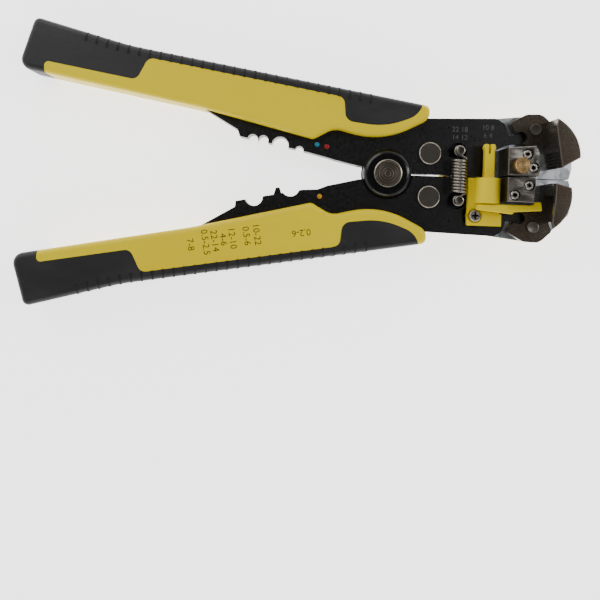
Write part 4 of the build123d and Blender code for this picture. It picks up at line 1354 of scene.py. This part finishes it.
@dataclass
class RearCovers:
    """Moulded covers behind the arms, with their cross-head screws."""

    frame: dict
    edge_mm: float = 0.3
    screw: ScrewForm = ScrewForm(4, 1.3, 0.34, 0.6, head=0.9, shank_r=1.1, dome=0.12, face_up=False)

    def build(self) -> None:
        """Soften both covers and put their screws in."""
        for side in Side:
            softened(f"{side.word}_cover", YELLOW, self.edge_mm, self.frame, 3)
            self.screw.fit(self.frame["nodes"][f"{side.word}_cover_screws"], side.arm)


# ---------------------------------------------------------------- studio
@dataclass
class Studio:
    """Pale floor, soft light and the camera, all placed from the tool's box."""

    low: Vector
    high: Vector
    floor_m: float = 6.0
    height_m: float = 0.26
    lens_mm: float = 41.8
    tilt_deg: float = -1.0
    stand_mm: float = -16.0
    roll_deg: float = 2.0
    shift_up: float = 0.165
    rim_light: float = 1.3
    top_light: float = 0.1
    paper_glow: float = 2.3
    sensor_mm: float = 36.0
    along: float = 0.5078       # share of the tool's length over which the camera stands
    horizon: Pair = (0.25, 0.9)  # heights between which the sky turns from rim to top light

    def build(self) -> None:
        """Make the floor, the lights and the camera."""
        self.floor()
        self.sky()
        self.lights()
        self.camera()

    def floor(self) -> None:
        """Plain pale sheet that the tool lies on."""
        bm = bmesh.new()
        bmesh.ops.create_grid(bm, x_segments=1, y_segments=1, size=self.floor_m / 2)
        bmesh.ops.translate(bm, verts=bm.verts, vec=(0, 0, self.low.z - 0.02 * MM))
        mesh = bpy.data.meshes.new("floor")
        bm.to_mesh(mesh)
        bm.free()
        paper = bpy.data.materials.new("matt_white_paper")
        paper.use_nodes = True
        sheet = paper.node_tree.nodes["Principled BSDF"]
        sheet.inputs["Base Color"].default_value = linear("F4F4F3")
        sheet.inputs["Roughness"].default_value = 0.9
        sheet.inputs["Emission Color"].default_value = linear("FFFFFF")
        sheet.inputs["Emission Strength"].default_value = self.paper_glow
        mesh.materials.append(paper)
        made = bpy.data.objects.new("floor", mesh)
        bpy.context.scene.collection.objects.link(made)
        made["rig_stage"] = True

    def sky(self) -> None:
        """Pale surroundings, darker overhead, so that flat faces stay dark and rims catch light."""
        world = bpy.data.worlds.new("studio")
        bpy.context.scene.world = world
        world.use_nodes = True
        tree = world.node_tree
        way = add(tree, "TexCoord").outputs["Generated"]
        rise = add(tree, "SeparateXYZ", {"Vector": way}).outputs["Z"]
        glow = add(tree, "MapRange", ranged(rise, self.horizon, (self.rim_light, self.top_light))).outputs[0]
        tree.links.new(glow, tree.nodes["Background"].inputs["Strength"])
        tree.nodes["Background"].inputs["Color"].default_value = (1.0, 1.0, 1.0, 1.0)

    def lamp(self, name: str, place: Vector, aim: Vector, size: tuple[float, float], watts: float) -> None:
        """Add one soft box.

        Args:
            name: Name of the lamp.
            place: Where it hangs.
            aim: Point that it faces.
            size: Width and height in metres.
            watts: Its power.
        """
        data = bpy.data.lights.new(name, "AREA")
        data.shape = "RECTANGLE"
        data.size, data.size_y = size
        data.energy = watts
        made = bpy.data.objects.new(name, data)
        made.location = place
        made.rotation_mode = "QUATERNION"
        made.rotation_quaternion = (aim - place).to_track_quat("-Z", "Y")
        bpy.context.scene.collection.objects.link(made)

    def lights(self) -> None:
        """Large key from the upper left, strip from the right and a low fill."""
        centre = (self.low + self.high) / 2
        self.lamp("key", centre + Vector((-0.35, 0.45, 0.6)), centre, (0.6, 0.5), 2.5)
        self.lamp("strip", centre + Vector((0.5, 0.1, 0.35)), centre, (0.12, 0.6), 1.2)
        self.lamp("fill", centre + Vector((-0.1, -0.6, 0.4)), centre, (0.5, 0.3), 0.9)

    def camera(self) -> None:
        """Look down on the front face, the tool in the upper part of the picture."""
        data = bpy.data.cameras.new("camera")
        data.lens = self.lens_mm
        data.sensor_width = self.sensor_mm
        data.shift_y = -self.shift_up
        data.clip_start, data.clip_end = 0.01, 20.0
        made = bpy.data.objects.new("camera", data)
        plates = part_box("upper_front_plate")[1].z
        reach = self.low.x + (self.high.x - self.low.x) * self.along
        made.location = (reach, self.stand_mm * MM, plates + self.height_m)
        made.rotation_mode = "QUATERNION"
        tilt = Matrix.Rotation(math.radians(-self.tilt_deg), 3, "X")
        roll = Matrix.Rotation(math.radians(self.roll_deg), 3, "Z")
        made.rotation_quaternion = (tilt @ roll).to_quaternion()
        bpy.context.scene.collection.objects.link(made)
        bpy.context.scene.camera = made


def main() -> None:
    """Build the tool around its frame, then the studio."""
    logging.basicConfig(level=logging.INFO, format="%(message)s")
    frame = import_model()
    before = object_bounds()
    pins = SteelPins()
    front = ReturnSpring("front", coil_r=2.65, wire_r=0.48, coils=11, body_mm=12.4, neck_r=pins.front_neck_r)
    rear = ReturnSpring("rear", coil_r=1.55, wire_r=0.35, coils=10, body_mm=8.0, neck_r=pins.rear_neck_r)
    builders: list[Callable[[], None]] = [BareArms(frame).build, MainPivot().build]
    for side in Side:
        pins.drive_rivet(side)
        pins.front_post(side, middle("front_spring").z / MM, front.wire_r)
        pins.rear_post(side, middle("rear_spring").z / MM, rear.wire_r)
        builders.append(Handle(side, frame).build)
    builders += [front.build, rear.build, SwingJaws(frame, pins).build, Blocks(frame).build,
                 LengthStop(frame).build, RearCovers(frame).build, ColourMarks().build, Numbers().build]
    for build in builders:
        build()
    Studio(*before).build()


if __name__ == "__main__":
    main()
